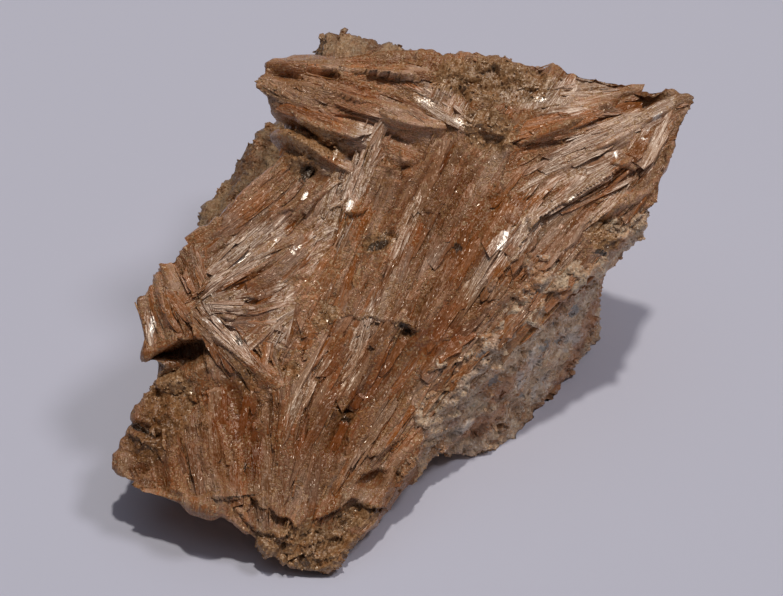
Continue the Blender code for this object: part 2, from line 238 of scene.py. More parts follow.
SNAP_STRIP = (0.3, 40.0)  # width and length of the strips in which it is
SCARP_RAGGED, SCARP_STRIP = 0.45, 1.4  # how far a scarp's edge strays, and over what run
GLASSY_CALM = 0.55  # share of the fibres' relief that glassy blades lack
CALM_RIM = 0.85  # share of all relief that the smooth parts of the rim lack
# Humps of the matrix: (width, height).  Then the small planes into which it and the
# crumbled patches broke: (width, height on the matrix, height on the patches).
HUMPS = ((4.4, 0.8), (2.2, 0.45))
PLANES = ((2.3, 0.85, 0.9), (1.0, 0.45, 0.45))
PLANE_SLOPE = 1.2

# What the crests of bundles, blades and splinters count in the tone, and those of the
# first two in the hue.
TONE_SHARES, HUE_SHARES = (0.45, 0.35, 0.2), (0.4, 0.6)
PROUD_PASSES = 4  # that soften the skin to what a point's surroundings are
# Painted light and shade: what stands proud of its surroundings is painted paler, and what lies below them
# darker.
PROUD_PAINTED_LIGHT = 1.0  # by which each mm that the skin stands proud of its surroundings is paler,
PROUD_RANGE = (-0.55, 0.4)  # within these limits
# Painted shade in the hollows:
DIP_PAINTED_SHADE = 0.3  # by which each mm of a hollow is darker

# Steps of the skin between the corners, along the lump and around it.  They leave about
# 0.3 mm between points on the main face, which is half a splinter's width.
SKIN_ALONG = (12, 27, 18, 24, 28, 28, 30, 30, 18, 20, 24, 12, 12, 12)
SKIN_AROUND = (43, 43, 47, 49, 24, 22, 16, 14, 14, 16, 22, 25)
CORNER_SOFTENING = 3  # passes that round the corners off
BOX_MARGIN = 0.03  # by which the skin stays inside the solid's own box
lowest, highest = (np.array(corner) / MM + (*ORIGIN_AT, 0.0) for corner in cad_box)


def on_table(face_points):
    """(across, up, out) on the leaning face as (x, y, height): a turn about the x axis."""
    across, up, out = np.moveaxis(np.asarray(face_points, float), -1, 0)
    y = up * math.sin(FACE_LEAN) - out * math.cos(FACE_LEAN)
    height = FACE_FOOT_HEIGHT + up * math.cos(FACE_LEAN) + out * math.sin(FACE_LEAN)
    return np.stack((across, y, height), -1)


def in_face_frame(points):
    """(x, y, height) over the table turned back to (across, up, out) of the face."""
    x, y, height = np.moveaxis(points, -1, 0)
    height = height - FACE_FOOT_HEIGHT
    up = y * math.sin(FACE_LEAN) + height * math.cos(FACE_LEAN)
    out = height * math.sin(FACE_LEAN) - y * math.cos(FACE_LEAN)
    return np.stack((x, up, out), -1)


def corner_grid():
    """Rows of 12 corners from the front end to the back end; the ends are points."""
    rows = [[FRONT_END] * 12]
    for face, rest in RINGS:
        rows.append(list(on_table(face)) + list(rest))
    rows.extend(list(ring) for ring in BACK_RINGS)
    rows.append([BACK_END] * 12)
    return np.array(rows, float)


def sampled(corners, steps_along, steps_around):
    """The corner grid read at every step: straight lines between the four nearest corners."""
    along = np.concatenate([i + np.arange(n) / n for i, n in enumerate(steps_along)])
    along = np.append(along, len(corners) - 1)
    around = np.concatenate([i + np.arange(n) / n for i, n in enumerate(steps_around)])
    i = np.minimum(along.astype(int), len(corners) - 2)
    f = (along - i)[:, None, None]
    rows = corners[i] * (1 - f) + corners[i + 1] * f
    j = around.astype(int)
    g = (around - j)[None, :, None]
    return rows[:, j] * (1 - g) + rows[:, (j + 1) % 12] * g


def softened(grid, passes):
    """Every point moved half way to the mean of its four neighbours, some times over;
    the end rows stay, and the columns join round."""
    for _ in range(passes):
        around = (np.roll(grid, 1, 1) + np.roll(grid, -1, 1)) / 2
        along = (grid[:-2] + grid[2:]) / 2
        grid = grid.copy()
        grid[1:-1] = grid[1:-1] / 2 + (around[1:-1] + along) / 4
    return grid


def hash_of(*cells, seed):
    """Repeatable numbers from 0 to 1, one for each cell: its numbers times large primes,
    mixed bit by bit and cut to 32 bits."""
    mixed = np.zeros(np.shape(cells[0]), np.int64) + seed * 7919
    for prime, cell in zip((73856093, 19349663, 83492791), cells):
        mixed = (mixed ^ (cell.astype(np.int64) * prime)) * 2654435761 % 4294967296
        mixed ^= mixed >> 15
    return (mixed * 2246822519 % 4294967296) / 4294967296


def noise(points, size, seed):
    """Smooth noise from -1 to 1: numbers on a lattice of that size, eased between."""
    scaled = points / size
    cell = np.floor(scaled)
    f = scaled - cell
    f = f * f * (3 - 2 * f)
    total = 0.0
    for corner in np.ndindex(2, 2, 2):
        weight = np.prod(np.where(corner, f, 1 - f), axis=-1)
        total = total + weight * hash_of(*np.moveaxis(cell + corner, -1, 0), seed=seed)
    return total * 2 - 1


def nearest(points, centres):
    """Number of the nearest centre, with a ragged border between neighbours, and a share
    from 0 on that border to 1 a few mm inside it."""
    stray = np.stack([noise(points, WAVES[1][0], seed) for seed in (11, 12, 13)], -1)
    shifted = points + BORDER_RAGGED * stray
    gaps = [np.sum((shifted - np.array(centre)) ** 2 * (1, 1, OUT_COUNTS), -1) for centre in centres]
    first, second = np.sqrt(np.sort(gaps, 0)[:2])
    return np.argmin(gaps, 0), np.clip((second - first) / BORDER_WIDTH, 0, 1)


def fan(place, centre, apex):
    """Distance from the apex, and the angle at it times the centre's distance: these are
    the lengths along and across the blades.  The centre's distance comes third."""
    to_centre = np.subtract(centre[:2], apex)
    reach = np.hypot(*to_centre)
    arm = place[..., :2] - apex
    angle = np.arctan2(arm[..., 1], arm[..., 0]) - math.atan2(to_centre[1], to_centre[0])
    angle = (angle + math.pi) % (2 * math.pi) - math.pi
    return np.hypot(arm[..., 0], arm[..., 1]), angle * reach, reach


def blades(along, across, deep, size, seed):
    """Heights of blades side by side, each lying on the edge of the next, and each
    blade's own crest from 0 to 1: a slope up over most of the width, a drop after it, times
    a crest that changes in straight runs along the blade."""
    width, length, step = size
    wander = noise(np.stack((along, across, deep), -1) / BLADE_WANDER, 1.0, seed)
    position = across / width + BLADE_BEND * wander
    blade = np.floor(position)
    f = position - blade
    slope = np.minimum(f / BLADE_SLOPE, (1 - f) / (1 - BLADE_SLOPE))
    layer = np.floor(deep / (BLADE_LAYER * width))
    run = along / length + CREST_SPREAD * hash_of(blade, layer, seed=seed + 1)
    piece = np.floor(run)
    crest = hash_of(blade, layer, piece, seed=seed + 2)
    next_crest = hash_of(blade, layer, piece + 1, seed=seed + 2)
    return step * slope * (crest + (run - piece) * (next_crest - crest)), crest


def snapped(along, across, size, seed):
    """Levels from -0.5 to 0.5 of blades that broke off at different places along them."""
    width, length, _ = size
    blade = np.floor(across / width)
    strip = np.floor(across / SNAP_STRIP[0]), np.floor(along / SNAP_STRIP[1])
    end = SNAP_SPREAD * hash_of(blade, seed=seed + 1) + SNAP_RAGGED * hash_of(*strip, seed=seed + 3)
    piece = np.floor(along / length + end)
    return hash_of(blade, piece, seed=seed + 2) - 0.5


def ellipse(place, across, up, half_length, half_width, turn):
    """Squared distance from a turned ellipse's middle, 1 on its edge."""
    turn = math.radians(turn)
    dx, dy = place[..., 0] - across, place[..., 1] - up
    lengthways = (dx * math.cos(turn) + dy * math.sin(turn)) / half_length
    sideways = (dy * math.cos(turn) - dx * math.sin(turn)) / half_width
    return lengthways**2 + sideways**2


def facets(points, size, seed):
    """Heights from about -1 to 1 of a surface that broke into small planes: each point
    takes the plane of the nearest of some seeds, one in each cell of a lattice.  A seed's
    place and its plane's slope are further digits of the number that gives its level."""
    scaled = points / size
    home = np.floor(scaled)
    nearest_gap = np.full(len(points), np.inf)
    high = np.zeros(len(points))
    for step in np.ndindex(3, 3, 3):
        cell = home + step - 1
        level = hash_of(*cell.T, seed=seed)
        drawn = np.stack([level * stretch % 1 for stretch in (97, 967, 9677)], -1)
        slope = np.stack([level * stretch % 1 for stretch in (89, 877, 8713)], -1) - 0.5
        arm = scaled - cell - drawn
        gap = np.sum(arm**2, -1)
        nearer = gap < nearest_gap
        nearest_gap[nearer] = gap[nearer]
        high[nearer] = (level - 0.5 + PLANE_SLOPE * np.sum(slope * arm, -1))[nearer]
    return high


def scarp(place, height, reach, *edge):
    """Rise of the ground towards a scarp's edge: in full at the edge's high side, falling
    away in a straight slope over its reach, and nothing on its low side or past its ends."""
    edge = np.array(edge)
    spot = place[..., :2]
    best = np.full(place.shape[:-1], np.inf)
    rise = np.zeros(place.shape[:-1])
    for number, (start, end) in enumerate(zip(edge, edge[1:])):
        run = end - start
        long = np.hypot(*run)
        arm = spot - start
        share = arm @ run / long**2
        aside = (run[0] * arm[..., 1] - run[1] * arm[..., 0]) / long
        beyond = np.abs(share - np.clip(share, 0, 1)) * long
        away = np.hypot(aside, beyond)
        nearer = away < best
        best[nearer] = away[nearer]
        is_end = ((share < 0) & (number == 0)) | ((share > 1) & (number == len(edge) - 2))
        fading = np.where(is_end, np.exp(-(beyond**2)), 1)
        rise[nearer] = (np.clip(1 - away / reach, 0, 1) * (aside > 0) * fading)[nearer]
    return height * rise * (place[..., 2] > -HOLLOW_REACH)


def outward(points):
    """Unit normals of the grid, pointing out of the lump."""
    to_next_row = np.gradient(points, axis=0)
    to_next_column = np.roll(points, -1, 1) - np.roll(points, 1, 1)
    normal = np.cross(to_next_column, to_next_row)
    return normal / np.maximum(np.linalg.norm(normal, axis=-1, keepdims=True), 1e-9)


# Patches of the main face that broke into crumbs and not into blades:
# (across, up, half length, half width, turn in degrees).
CRUMBLED = (
    (13, 68.8, 8.5, 3.2, -6), (12.5, 62.0, 3.0, 4.0, 70), (-32.5, 23.5, 3.4, 5.0, -10),
    (-35.5, 17.5, 2.4, 2.4, 0), (-13, 3.2, 9, 3.4, -3), (-6.0, 8.0, 3.4, 1.6, 15),
    (-13.5, 58.0, 2.2, 2.6, 0), (-3, 46.3, 2.8, 1.3, 20), (0.7, 34.2, 1.5, 1.0, -30),
    (-7.8, 22.3, 1.6, 1.0, -20), (-15.3, 28.3, 1.6, 1.2, 40), (-10.3, 36.0, 2.2, 1.2, 40),
    (-21.5, 27.0, 1.8, 1.4, -60), (28.5, 47.3, 2.0, 2.4, 30), (-12.0, 60.6, 5.0, 1.8, -18),
)
# Parts of the rim that broke off smooth, given in the same way.
CALM = ((-30.5, 9.2, 7.0, 1.8, -12), (-40.4, 15.2, 1.8, 1.8, 0))
PATCH_FADE = 1.6


def within(place, patches, reach=HOLLOW_REACH):
    """Share from 0 to 1 by which a point no deeper than the reach lies in any patch: it
    falls from 1 to 0 while the squared distance goes from PATCH_FADE - 1 to PATCH_FADE."""
    share = np.zeros(place.shape[:-1])
    for patch in patches:
        share = np.maximum(share, PATCH_FADE - ellipse(place, *patch))
    return np.clip(share, 0, 1) * (place[..., 2] > -reach)


def skin():
    """The lump's skin as a grid of points, with what each one needs to know of its stone.

    The corner grid is read at every step, softened and moved along its normals by a relief:
    broad waves, then bundles, blades and splinters along the fibres, or humps and small
    planes on matrix and crumbs, then scarps and hollows."""
    points = softened(sampled(corner_grid(), SKIN_ALONG, SKIN_AROUND), CORNER_SOFTENING)
    place = in_face_frame(points)
    deep = place[..., 2]
    zone, inside = nearest(place, [centre for centre, _ in SHEAVES] + list(MATRIX_PATCHES))
    patch = zone - len(SHEAVES)
    rock = softened(((patch >= 0) & (patch < PLAIN_PATCHES)).astype(float), CORNER_SOFTENING)
    crumbs = within(place, CRUMBLED)

    along, across, bundles, bundle_tone = (np.zeros(zone.shape) for _ in range(4))
    for number, (centre, apex) in enumerate(SHEAVES):
        far, aside, reach = fan(place, centre, apex)
        high, crest = blades(far, aside, deep, BUNDLE, 31 + number)
        thin = np.clip(far / reach, THINNEST_BUNDLE, 1)
        mine = (zone == number) | ((patch >= 0) & (number == MIDDLE_SHEAF))
        along[mine], across[mine] = far[mine], aside[mine] + SHEAF_APART * number
        bundles[mine] = (thin * (high - BUNDLE_SUNK * BUNDLE[2]))[mine] * (1 - rock[mine])
        bundle_tone[mine] = crest[mine]
    high, blade_tone = blades(along, across, deep, BLADE, 51)
    fine, fine_tone = blades(along, across, deep, SPLINTER, 56)
    fibrous = high + fine - BLADE_SUNK * (BLADE[2] + SPLINTER[2])
    fibrous += BLADE_SNAP * snapped(along, across, BLADE, 61)
    fibrous += SPLINTER_SNAP * snapped(along, across, SPLINTER, 66)
    fibrous *= 1 - GLASSY_CALM * within(place, GLASSY)

    relief = inside * bundles + (1 - np.maximum(rock, crumbs)) * fibrous
    for seed, (length, height) in enumerate(WAVES, 21):
        relief += height * noise(points, length, seed)
    for seed, (width, height) in enumerate(HUMPS, 23):
        relief += rock * height * noise(points, width, seed)
    granular = (rock > 0) | (crumbs > 0)
    for seed, (width, on_rock, on_crumbs) in enumerate(PLANES, 71):
        height = on_rock * rock[granular] + on_crumbs * crumbs[granular]
        relief[granular] += height * facets(points[granular], width, seed)
    stray = [SCARP_RAGGED * noise(points, SCARP_STRIP, seed) for seed in (75, 76)]
    ragged = place + np.stack((*stray, np.zeros(zone.shape)), -1)
    for edge in SCARPS:
        relief += scarp(ragged, *edge)
    relief *= 1 - CALM_RIM * within(place, CALM)
    dips = np.zeros(zone.shape)
    for *shape, depth in HOLLOWS:
        dips += depth * np.exp(-(ellipse(place, *shape) ** 2)) * (deep > -HOLLOW_REACH)
    to_back = np.linalg.norm(points - np.array(BACK_END), axis=-1)
    left = BACK_RELIEF + (1 - BACK_RELIEF) * np.clip(to_back / BACK_FADE, 0, 1)
    relief = (relief - dips) * left
    proud = relief - softened(relief[..., None], PROUD_PASSES)[..., 0]
    moved = relief[..., None] * outward(points)
    moved[[0, -1]] = moved[[0, -1]].mean(axis=1, keepdims=True)
    points = np.clip(points + moved, lowest + (BOX_MARGIN, BOX_MARGIN, 0), highest - BOX_MARGIN)
    crests = bundle_tone, blade_tone, fine_tone
    tone, hue = (sum(share * crest for share, crest in zip(shares, crests))
                 for shares in (TONE_SHARES, HUE_SHARES))
    # painted light on what stands proud, and painted shade in the hollows
    tone += PROUD_PAINTED_LIGHT * np.clip(proud, *PROUD_RANGE) - DIP_PAINTED_SHADE * np.maximum(dips, 0)
    return {
        "points": points,
        "fibre": np.stack((along, across, deep), -1),
        "tone": tone,
        "hue": hue,
        "rock": rock,
    }


def closed_grid_faces(rows, columns):
    """Faces of a grid whose columns join round and whose first and last rows are each one
    point: triangles at the two ends and four-sided faces between, all facing outwards."""
    ring = np.arange(columns)
    after = (ring + 1) % columns
    first = 1 + np.arange(rows - 3)[:, None] * columns
    quads = np.stack((first + ring, first + after, first + columns + after, first + columns + ring), -1)
    last = 1 + (rows - 3) * columns
    end = last + columns
    front = np.stack((np.zeros_like(ring), 1 + after, 1 + ring), -1)
    back = np.stack((np.full_like(ring, end), last + ring, last + after), -1)
    return front, quads.reshape(-1, 4), back


def closed_grid_values(grid):
    """The grid's values in the order of its mesh points: each end row counts once."""
    rest = grid.shape[2:]
    return np.concatenate((grid[:1, 0], grid[1:-1].reshape(-1, *rest), grid[-1:, 0]))


def mesh_object(name, vertices, face_groups, attributes, material):
    """A mesh object from points in mm over the table, arrays of faces and values by point."""
    corners = np.concatenate([faces.ravel() for faces in face_groups])
    sizes = np.concatenate([np.full(len(faces), faces.shape[1]) for faces in face_groups])
    mesh = bpy.data.meshes.new(name)
    mesh.vertices.add(len(vertices))
    placed = (vertices - (*ORIGIN_AT, 0.0)) * MM
    mesh.vertices.foreach_set("co", placed.astype(np.float32).ravel())
    mesh.loops.add(len(corners))
    mesh.loops.foreach_set("vertex_index", corners.astype(np.int32))
    mesh.polygons.add(len(sizes))
    starts = np.concatenate(([0], np.cumsum(sizes)[:-1]))
    mesh.polygons.foreach_set("loop_start", starts.astype(np.int32))
    for key, values in attributes.items():
        kind, field = ("FLOAT_VECTOR", "vector") if values.ndim == 2 else ("FLOAT", "value")
        layer = mesh.attributes.new(key, kind, "POINT")
        layer.data.foreach_set(field, values.astype(np.float32).ravel())
    mesh.update(calc_edges=True)
    mesh.validate()
    mesh.materials.append(material)
    made = bpy.data.objects.new(name, mesh)
    bpy.context.scene.collection.objects.link(made)
    return made


def linear(hex_colour):
    """An sRGB hex colour as linear red, green and blue with alpha 1."""
    parts = [int(hex_colour[i : i + 2], 16) / 255 for i in (1, 3, 5)]
    return (*(c / 12.92 if c <= 0.04045 else ((c + 0.055) / 1.055) ** 2.4 for c in parts), 1.0)


def add(tree, kind, inputs, output=None, **settings):
    """Adds a node with its settings and returns one output: the named one, or the first in
    use.  The inputs are values or links for the sockets in use, in order; None skips one."""
    made = tree.nodes.new("ShaderNode" + kind)
    for name, value in settings.items():
        setattr(made, name, value)
    used, outputs = ([s for s in sockets if s.enabled] for sockets in (made.inputs, made.outputs))
    for socket, value in zip(used, inputs):
        if isinstance(value, bpy.types.NodeSocket):
            tree.links.new(value, socket)
        elif value is not None:
            socket.default_value = value
    return made.outputs[output] if output else outputs[0]


# Patches of the stone, as (across, up, half length, half width, turn in degrees).  Clear
# brown blades, smoother than the rest:
GLASSY = (
    (4.6, 32.4, 4.0, 2.2, 28), (-2.2, 28.6, 5.5, 1.5, 57), (-6.2, 23.8, 1.6, 1.0, 60),
    (-8.0, 19.6, 4.0, 1.3, 64), (-3.9, 13.0, 1.7, 1.1, 20), (-20.0, 16.9, 3.6, 1.2, 85),
    (10.5, 47.0, 7.0, 3.2, 55), (33.6, 65.9, 3.8, 1.4, 5), (-10.8, 7.5, 5.0, 1.6, 66),
    (-22.5, 40.0, 4.0, 1.6, 25), (-31.5, 32.2, 4.2, 1.0, 22), (-23.0, 22.0, 5.0, 3.0, 95),
)
# Blue-grey, rusty and chalky grains of the flank:
GREY = (
    (11.1, 30.3, 1.0, 0.75, 45), (13.4, 26.7, 1.1, 0.65, 60), (25.0, 36.6, 1.0, 0.85, 50),
    (21.1, 31.7, 1.3, 0.7, 30), (23.6, 32.3, 1.0, 0.6, 20), (17.7, 24.4, 0.7, 0.35, 65),
    (22.3, 35.0, 0.6, 0.4, 0), (28.3, 44.8, 0.8, 0.4, -10),
)
RUSTY = (
    (27.2, 33.5, 9.0, 1.0, 66), (22.6, 23.5, 6.0, 1.1, 48), (23.0, 38.4, 1.7, 1.5, 0),
    (15.5, 26.0, 4.0, 0.9, 48), (12.0, 20.5, 4.0, 1.2, 30),
)
WHITISH = (
    (24.8, 32.6, 2.2, 1.6, 45), (18.5, 28.5, 3.6, 1.2, 60), (20.5, 25.0, 2.4, 1.0, 60),
    (9.0, 20.0, 2.0, 0.8, 40),
)
# Where the stone is stained a warmer brown:
WARM = (
    (4.5, 53.0, 7.5, 5.5, 60), (-9.0, 23.0, 10.0, 6.0, 64), (-22.0, 20.0, 6.5, 8.0, 0),
    (-34.0, 18.5, 5.0, 6.5, 0), (6.5, 36.0, 6.0, 4.5, 50), (-11.0, 68.0, 8.0, 2.4, -20),
    (0.0, 12.0, 5.0, 3.0, 50),
)
# Small cleavage faces that look straight at the light; their near-white colour is a painted highlight:
GLINTS = (
    (-7.0, 51.5, 0.9, 0.45, 70), (-15.0, 44.8, 1.2, 0.4, 40), (-13.3, 52.8, 0.8, 0.3, 60),
    (-34.7, 34.7, 1.3, 0.4, 85), (8.1, 63.1, 0.9, 0.5, -20), (34.3, 61.3, 0.8, 0.5, 50),
    (19.4, 66.3, 1.1, 0.4, 5), (36.0, 64.0, 1.0, 0.3, 35), (24.2, 52.6, 0.9, 0.2, 35),
    (30.0, 58.5, 0.6, 0.25, 40), (-26.0, 35.4, 1.2, 0.25, 5), (-23.0, 32.6, 1.4, 0.25, -48),
    (-22.0, 44.0, 1.5, 0.2, 38), (-17.8, 46.2, 1.2, 0.2, 38), (3.9, 66.0, 0.9, 0.3, -35),
    (14.5, 46.0, 1.2, 0.15, 60), (-9.0, 58.8, 1.2, 0.2, 70),
)
FLANK_REACH = 26.0  # below the main face, to which the patches of the flank go
STAIN_REACH = 3.0  # and to which the silvery and sooty ones go
# Broad differences in tone over the main face: the same, and by how much each is paler.
# The one at (20, 29), over the flank, is painted light, and the last one is painted shade in
# the pocket beside the right-hand tip.
TONES_AND_PAINTED_LIGHT = (
    (24.5, 50.0, 9.0, 4.0, 30, -0.34), (12.0, 67.5, 7.0, 4.0, 0, -0.28),
    (4.5, 53.0, 6.0, 5.0, 60, -0.1), (8.0, 33.5, 9.0, 5.0, 55, 0.16),
    (-24.0, 42.0, 8.0, 6.0, 30, -0.26), (-7.0, 53.0, 7.0, 4.0, 70, -0.18),
    (-34.0, 19.0, 5.0, 5.0, 0, -0.24), (-14.0, 6.0, 6.0, 4.0, 0, -0.12),
    (20.0, 29.0, 8.0, 6.0, 50, 0.5), (9.0, 18.0, 6.0, 4.0, 45, 0.2),
    (-9.0, 67.5, 9.0, 4.0, -15, 0.28), (-34.0, 35.0, 5.0, 5.0, 0, -0.12),
    (33.6, 65.9, 3.4, 1.2, 5, -0.45),
)
# Silvery sheaves, whose colour is whitened as painted sheen:
SHEEN_PATCHES = (
    (22.5, 67.0, 7.5, 2.2, 2), (-6.0, 57.0, 7.5, 2.2, 70), (-10.0, 50.0, 8.0, 1.4, 72),
    (6.2, 65.4, 4.6, 2.2, -35), (-24.5, 38.2, 3.6, 1.2, 8), (-16.5, 36.5, 4.6, 1.6, 83),
    (-21.5, 45.0, 6.5, 2.4, 38), (29, 61.0, 8.0, 2.2, 24), (24.5, 57.0, 8.0, 1.6, 28),
    (22.5, 52.0, 9.0, 1.3, 34), (18.0, 47.5, 6.0, 0.8, 50), (29.0, 51.5, 4.5, 0.8, 48),
    (36.0, 59.5, 4.0, 0.8, 62), (-6.0, 31.5, 6.0, 1.0, 72), (1.0, 49.0, 5.0, 1.0, 66),
    (-13.0, 26.0, 6.0, 1.0, 64), (12.0, 43.0, 6.0, 0.9, 60), (-24.0, 33.0, 4.6, 1.2, -48),
    (36.5, 65.0, 2.5, 1.0, 40),
)
# Sooty oxide in pits, and, as the last three, along cracks:
SOOTY = (
    (-13.0, 56.2, 1.0, 0.8, 0), (7.9, 45.6, 0.7, 0.5, 60), (-3.2, 45.8, 1.6, 0.6, 20),
    (0.7, 34.4, 1.0, 0.5, -40), (-7.6, 21.4, 0.7, 0.4, 0), (-30.0, 31.0, 3.0, 0.6, 22),
    (-37.0, 20.4, 1.6, 0.4, -25), (-21.8, 32.2, 1.4, 0.5, 0), (-21.6, 15.0, 0.9, 0.15, 80),
    (28.0, 44.9, 0.9, 0.4, -10), (6.5, 28.8, 2.4, 0.16, 20), (-36.0, 19.9, 2.0, 0.2, -30),
    (-22.5, 10.9, 2.6, 0.16, 5),
)

# The way that the cleavage faces of the silvery blades all look: out of the main face,
# and leaning a little up it.
CLEAVAGE = (0.035, -0.31, 0.95)
NEEDLE_FACE = (0.34, 0.13, 2.0)  # a needle's cleavage faces: along it, across it and deep
CRYSTAL_WIDTH = 0.26  # of the small crystals in crumbs and matrix
GRAIN_WIDTH = 0.9  # of the matrix grains that differ in colour
SPARKLING = 0.955  # of a needle's faces, those above this share catch the light
DULL = 0.022  # and by which that share is higher on the crumbs and the matrix
STONE_IOR = 1.67
RELIEF = 0.3  # height of the finest relief, which is drawn as a bump


def layered(tree, colour, *layers):
    """The colour under some layers.  Each covers it by a share that grows from nothing, where
    the layer's pattern has its first value, to its strength at the second value."""
    for pattern, nothing_at, full_at, strength, cover in layers:
        share = add(tree, "MapRange", [pattern, nothing_at, full_at, 0.0, strength])
        colour = add(tree, "Mix", [share, colour, linear(cover)], data_type="RGBA")
    return colour


def crystal_and_matrix(name):
    """Fibrous bustamite that grades into granular matrix, both as they broke.  Light runs
    along the fibres in silky streaks and sparkles on their cleavage faces, and the silky
    streaks and glints are also whitened into the colour as painted sheen and painted
    highlight; the matrix is dull, with ochre, whitish and blue-grey grains.  The numbers of
    each MapRange are the two values between which its input goes, and then what it gives
    there, or 0 and 1."""
    material = bpy.data.materials.new(name)
    material.use_nodes = True
    tree = material.node_tree
    shader = tree.nodes["Principled BSDF"]
    node = partial(add, tree)

    def counted(where, lengths):
        """A place counted in a length of its own along each axis."""
        return node("VectorMath", [where, [1 / length for length in lengths]], operation="MULTIPLY")

    def pattern(where, size, detail):
        """Noise of that size in mm: along, across and into the fibres, or along x, y and z."""
        return node("TexNoise", [counted(where, size), 1.0, detail, 0.6])

    def times(value, share, *ends):
        """The value times a share, which goes through a MapRange with these ends."""
        return node("Math", [value, node("MapRange", [share, *ends])], operation="MULTIPLY")

    fibre = node("Attribute", [], "Vector", attribute_name="fibre")
    place_mm = counted(node("TexCoord", [], "Object"), (MM, MM, MM))

    hair = pattern(fibre, (2.6, 0.14, 2.0), 2.0)  # needles of 0.03 mm, drawn as wide as shows
    strand = pattern(fibre, (8.0, 0.5, 2.0), 3.0)
    band = pattern(fibre, (18.0, 1.7, 2.0), 2.0)
    cloud = pattern(place_mm, (7.0,) * 3, 2.0)
    ochre, umber = pattern(place_mm, (3.4,) * 3, 2.0), pattern(place_mm, (2.8,) * 3, 2.0)
    blotch = pattern(place_mm, (1.6,) * 3, 3.0)
    grit = pattern(place_mm, (0.4,) * 3, 2.0)

    def straying(one, by_one, other, by_other):
        """How far a patch's soft border strays, by two patterns."""
        one = node("MapRange", [one, 0.3, 0.7, -by_one, by_one])
        other = node("MapRange", [other, 0.3, 0.7, -by_other, by_other])
        return node("Math", [one, other], operation="ADD")

    def share_of(key, border):
        """A patch's share from 0 to 1, with its soft border broken up."""
        mask = node("Attribute", [], "Fac", attribute_name=key)
        left = node("Math", [1.25, mask], operation="SUBTRACT")
        room = node("Math", [mask, left], operation="MULTIPLY")
        strayed = node("Math", [border, room, mask], operation="MULTIPLY_ADD")
        return node("MapRange", [strayed, 0.35, 0.65])

    gritty, drawn_out = straying(grit, 0.7, blotch, 0.8), straying(hair, 0.8, strand, 1.2)
    rock, crumbs, sooty, grey, glint = (
        share_of(key, gritty) for key in ("rock", "crumbs", "sooty", "grey", "glint"))
    # pale: painted sheen on the silvery sheaves, and on the matrix its own chalky grains
    glassy, pale = share_of("glassy", drawn_out), share_of("pale", drawn_out)
    tone, hue, warm = (node("Attribute", [], "Fac", attribute_name=key) for key in ("tone", "hue", "warm"))

    # painted_sheen_and_glint: the needles of the pale sheaves that lie flat to the light, and the
    # glints; their whitened colour is painted sheen and painted highlight
    lying_flat = times(node("MapRange", [hair, 0.32, 0.58]), strand, 0.3, 0.5, 0.4, 1.0)
    shining = node("Math", [pale, lying_flat], operation="MULTIPLY")
    painted_sheen_and_glint = node("Math", [glint, shining], operation="MAXIMUM")
    fibrous = layered(
        tree, linear("#a26a43"),
        (strand, 0.34, 0.66, 1.0, "#c49272"),  # paler strands
        (hue, 0.58, 0.74, 0.85, "#cb8f66"),  # peach blades
        (hue, 0.36, 0.22, 0.65, "#bc8c62"),  # sandy blades
        (hue, 0.84, 0.9, 0.9, "#aa5f1e"),  # amber blades
        (cloud, 0.52, 0.6, 0.65, "#bb6d2a"),
        (cloud, 0.45, 0.37, 0.4, "#b99277"),
        (band, 0.48, 0.4, 0.7, "#9a5b22"),
        (band, 0.53, 0.62, 0.6, "#d0ac91"),
        (hair, 0.56, 0.74, 0.45, "#ecd4be"),  # needles
        (hair, 0.42, 0.3, 0.35, "#6c4522"),  # and the gaps between them
        (grit, 0.58, 0.7, 0.45, "#e2c59c"),  # powder
        (glassy, 0.0, 1.0, 0.75, "#9a5518"),
        # painted sheen: a silvery colour where the needles lie flat to the light
        (painted_sheen_and_glint, 0.0, 1.0, 0.48, "#e2cfbb"),
        # painted highlight: near-white on the glints
        (glint, 0.0, 1.0, 0.7, "#fbf3ea"),
    )
    crumbly = layered(
        tree, linear("#8e633e"),
        (grit, 0.34, 0.62, 1.0, "#c09568"),
        (blotch, 0.5, 0.66, 0.6, "#a86e3c"),
        (grit, 0.6, 0.72, 0.55, "#dcc6a6"),
        (grit, 0.36, 0.28, 0.55, "#5a3818"),
    )
    grain = node("TexVoronoi", [place_mm, 1 / GRAIN_WIDTH], "Color")
    grain_tone = node("SeparateColor", [grain], "Red")
    chalky = times(pale, blotch, 0.4, 0.58, 0.1, 0.75)
    granular = layered(
        tree, linear("#cfa782"),
        (grain_tone, 0.0, 1.0, 1.0, "#f3d6b1"),
        (ochre, 0.48, 0.62, 0.75, "#c88a58"),
        (umber, 0.48, 0.38, 0.5, "#b19579"),
        (band, 0.52, 0.62, 0.5, "#a67650"),
        (band, 0.46, 0.36, 0.4, "#a08680"),
        (grit, 0.4, 0.29, 0.6, "#63482e"),
        # pale grains of the matrix, part of their brightness a painted highlight
        (grit, 0.56, 0.68, 0.85, "#f1e3cf"),
        (glassy, 0.0, 1.0, 0.55, "#a9683a"),  # rust
        (chalky, 0.0, 1.0, 1.0, "#ded2c6"),
    )
    granular_share = node("Math", [rock, crumbs], operation="MAXIMUM")
    grey = times(grey, grain_tone, 0.3, 0.45, 0.1, 0.85)
    colour = node("Mix", [crumbs, fibrous, crumbly], data_type="RGBA")
    colour = node("Mix", [rock, colour, granular], data_type="RGBA")
    colour = layered(tree, colour, (grey, 0.0, 1.0, 1.0, "#8f8c89"), (sooty, 0.0, 1.0, 0.85, "#33261a"))
    # a warmer, darker brown: stains, and the painted shade on the matrix at the back
    colour = node("Mix", [warm, colour, linear("#e4d3bd")], data_type="RGBA", blend_type="MULTIPLY")
    # tone holds the blades' random tones and the painted light and shade from skin() and stone_values()
    light = node("MapRange", [tone, -0.6, 1.0, 0.45, 1.13])
    colour = node("VectorMath", [colour, light], operation="SCALE")
    tree.links.new(colour, shader.inputs["Base Color"])

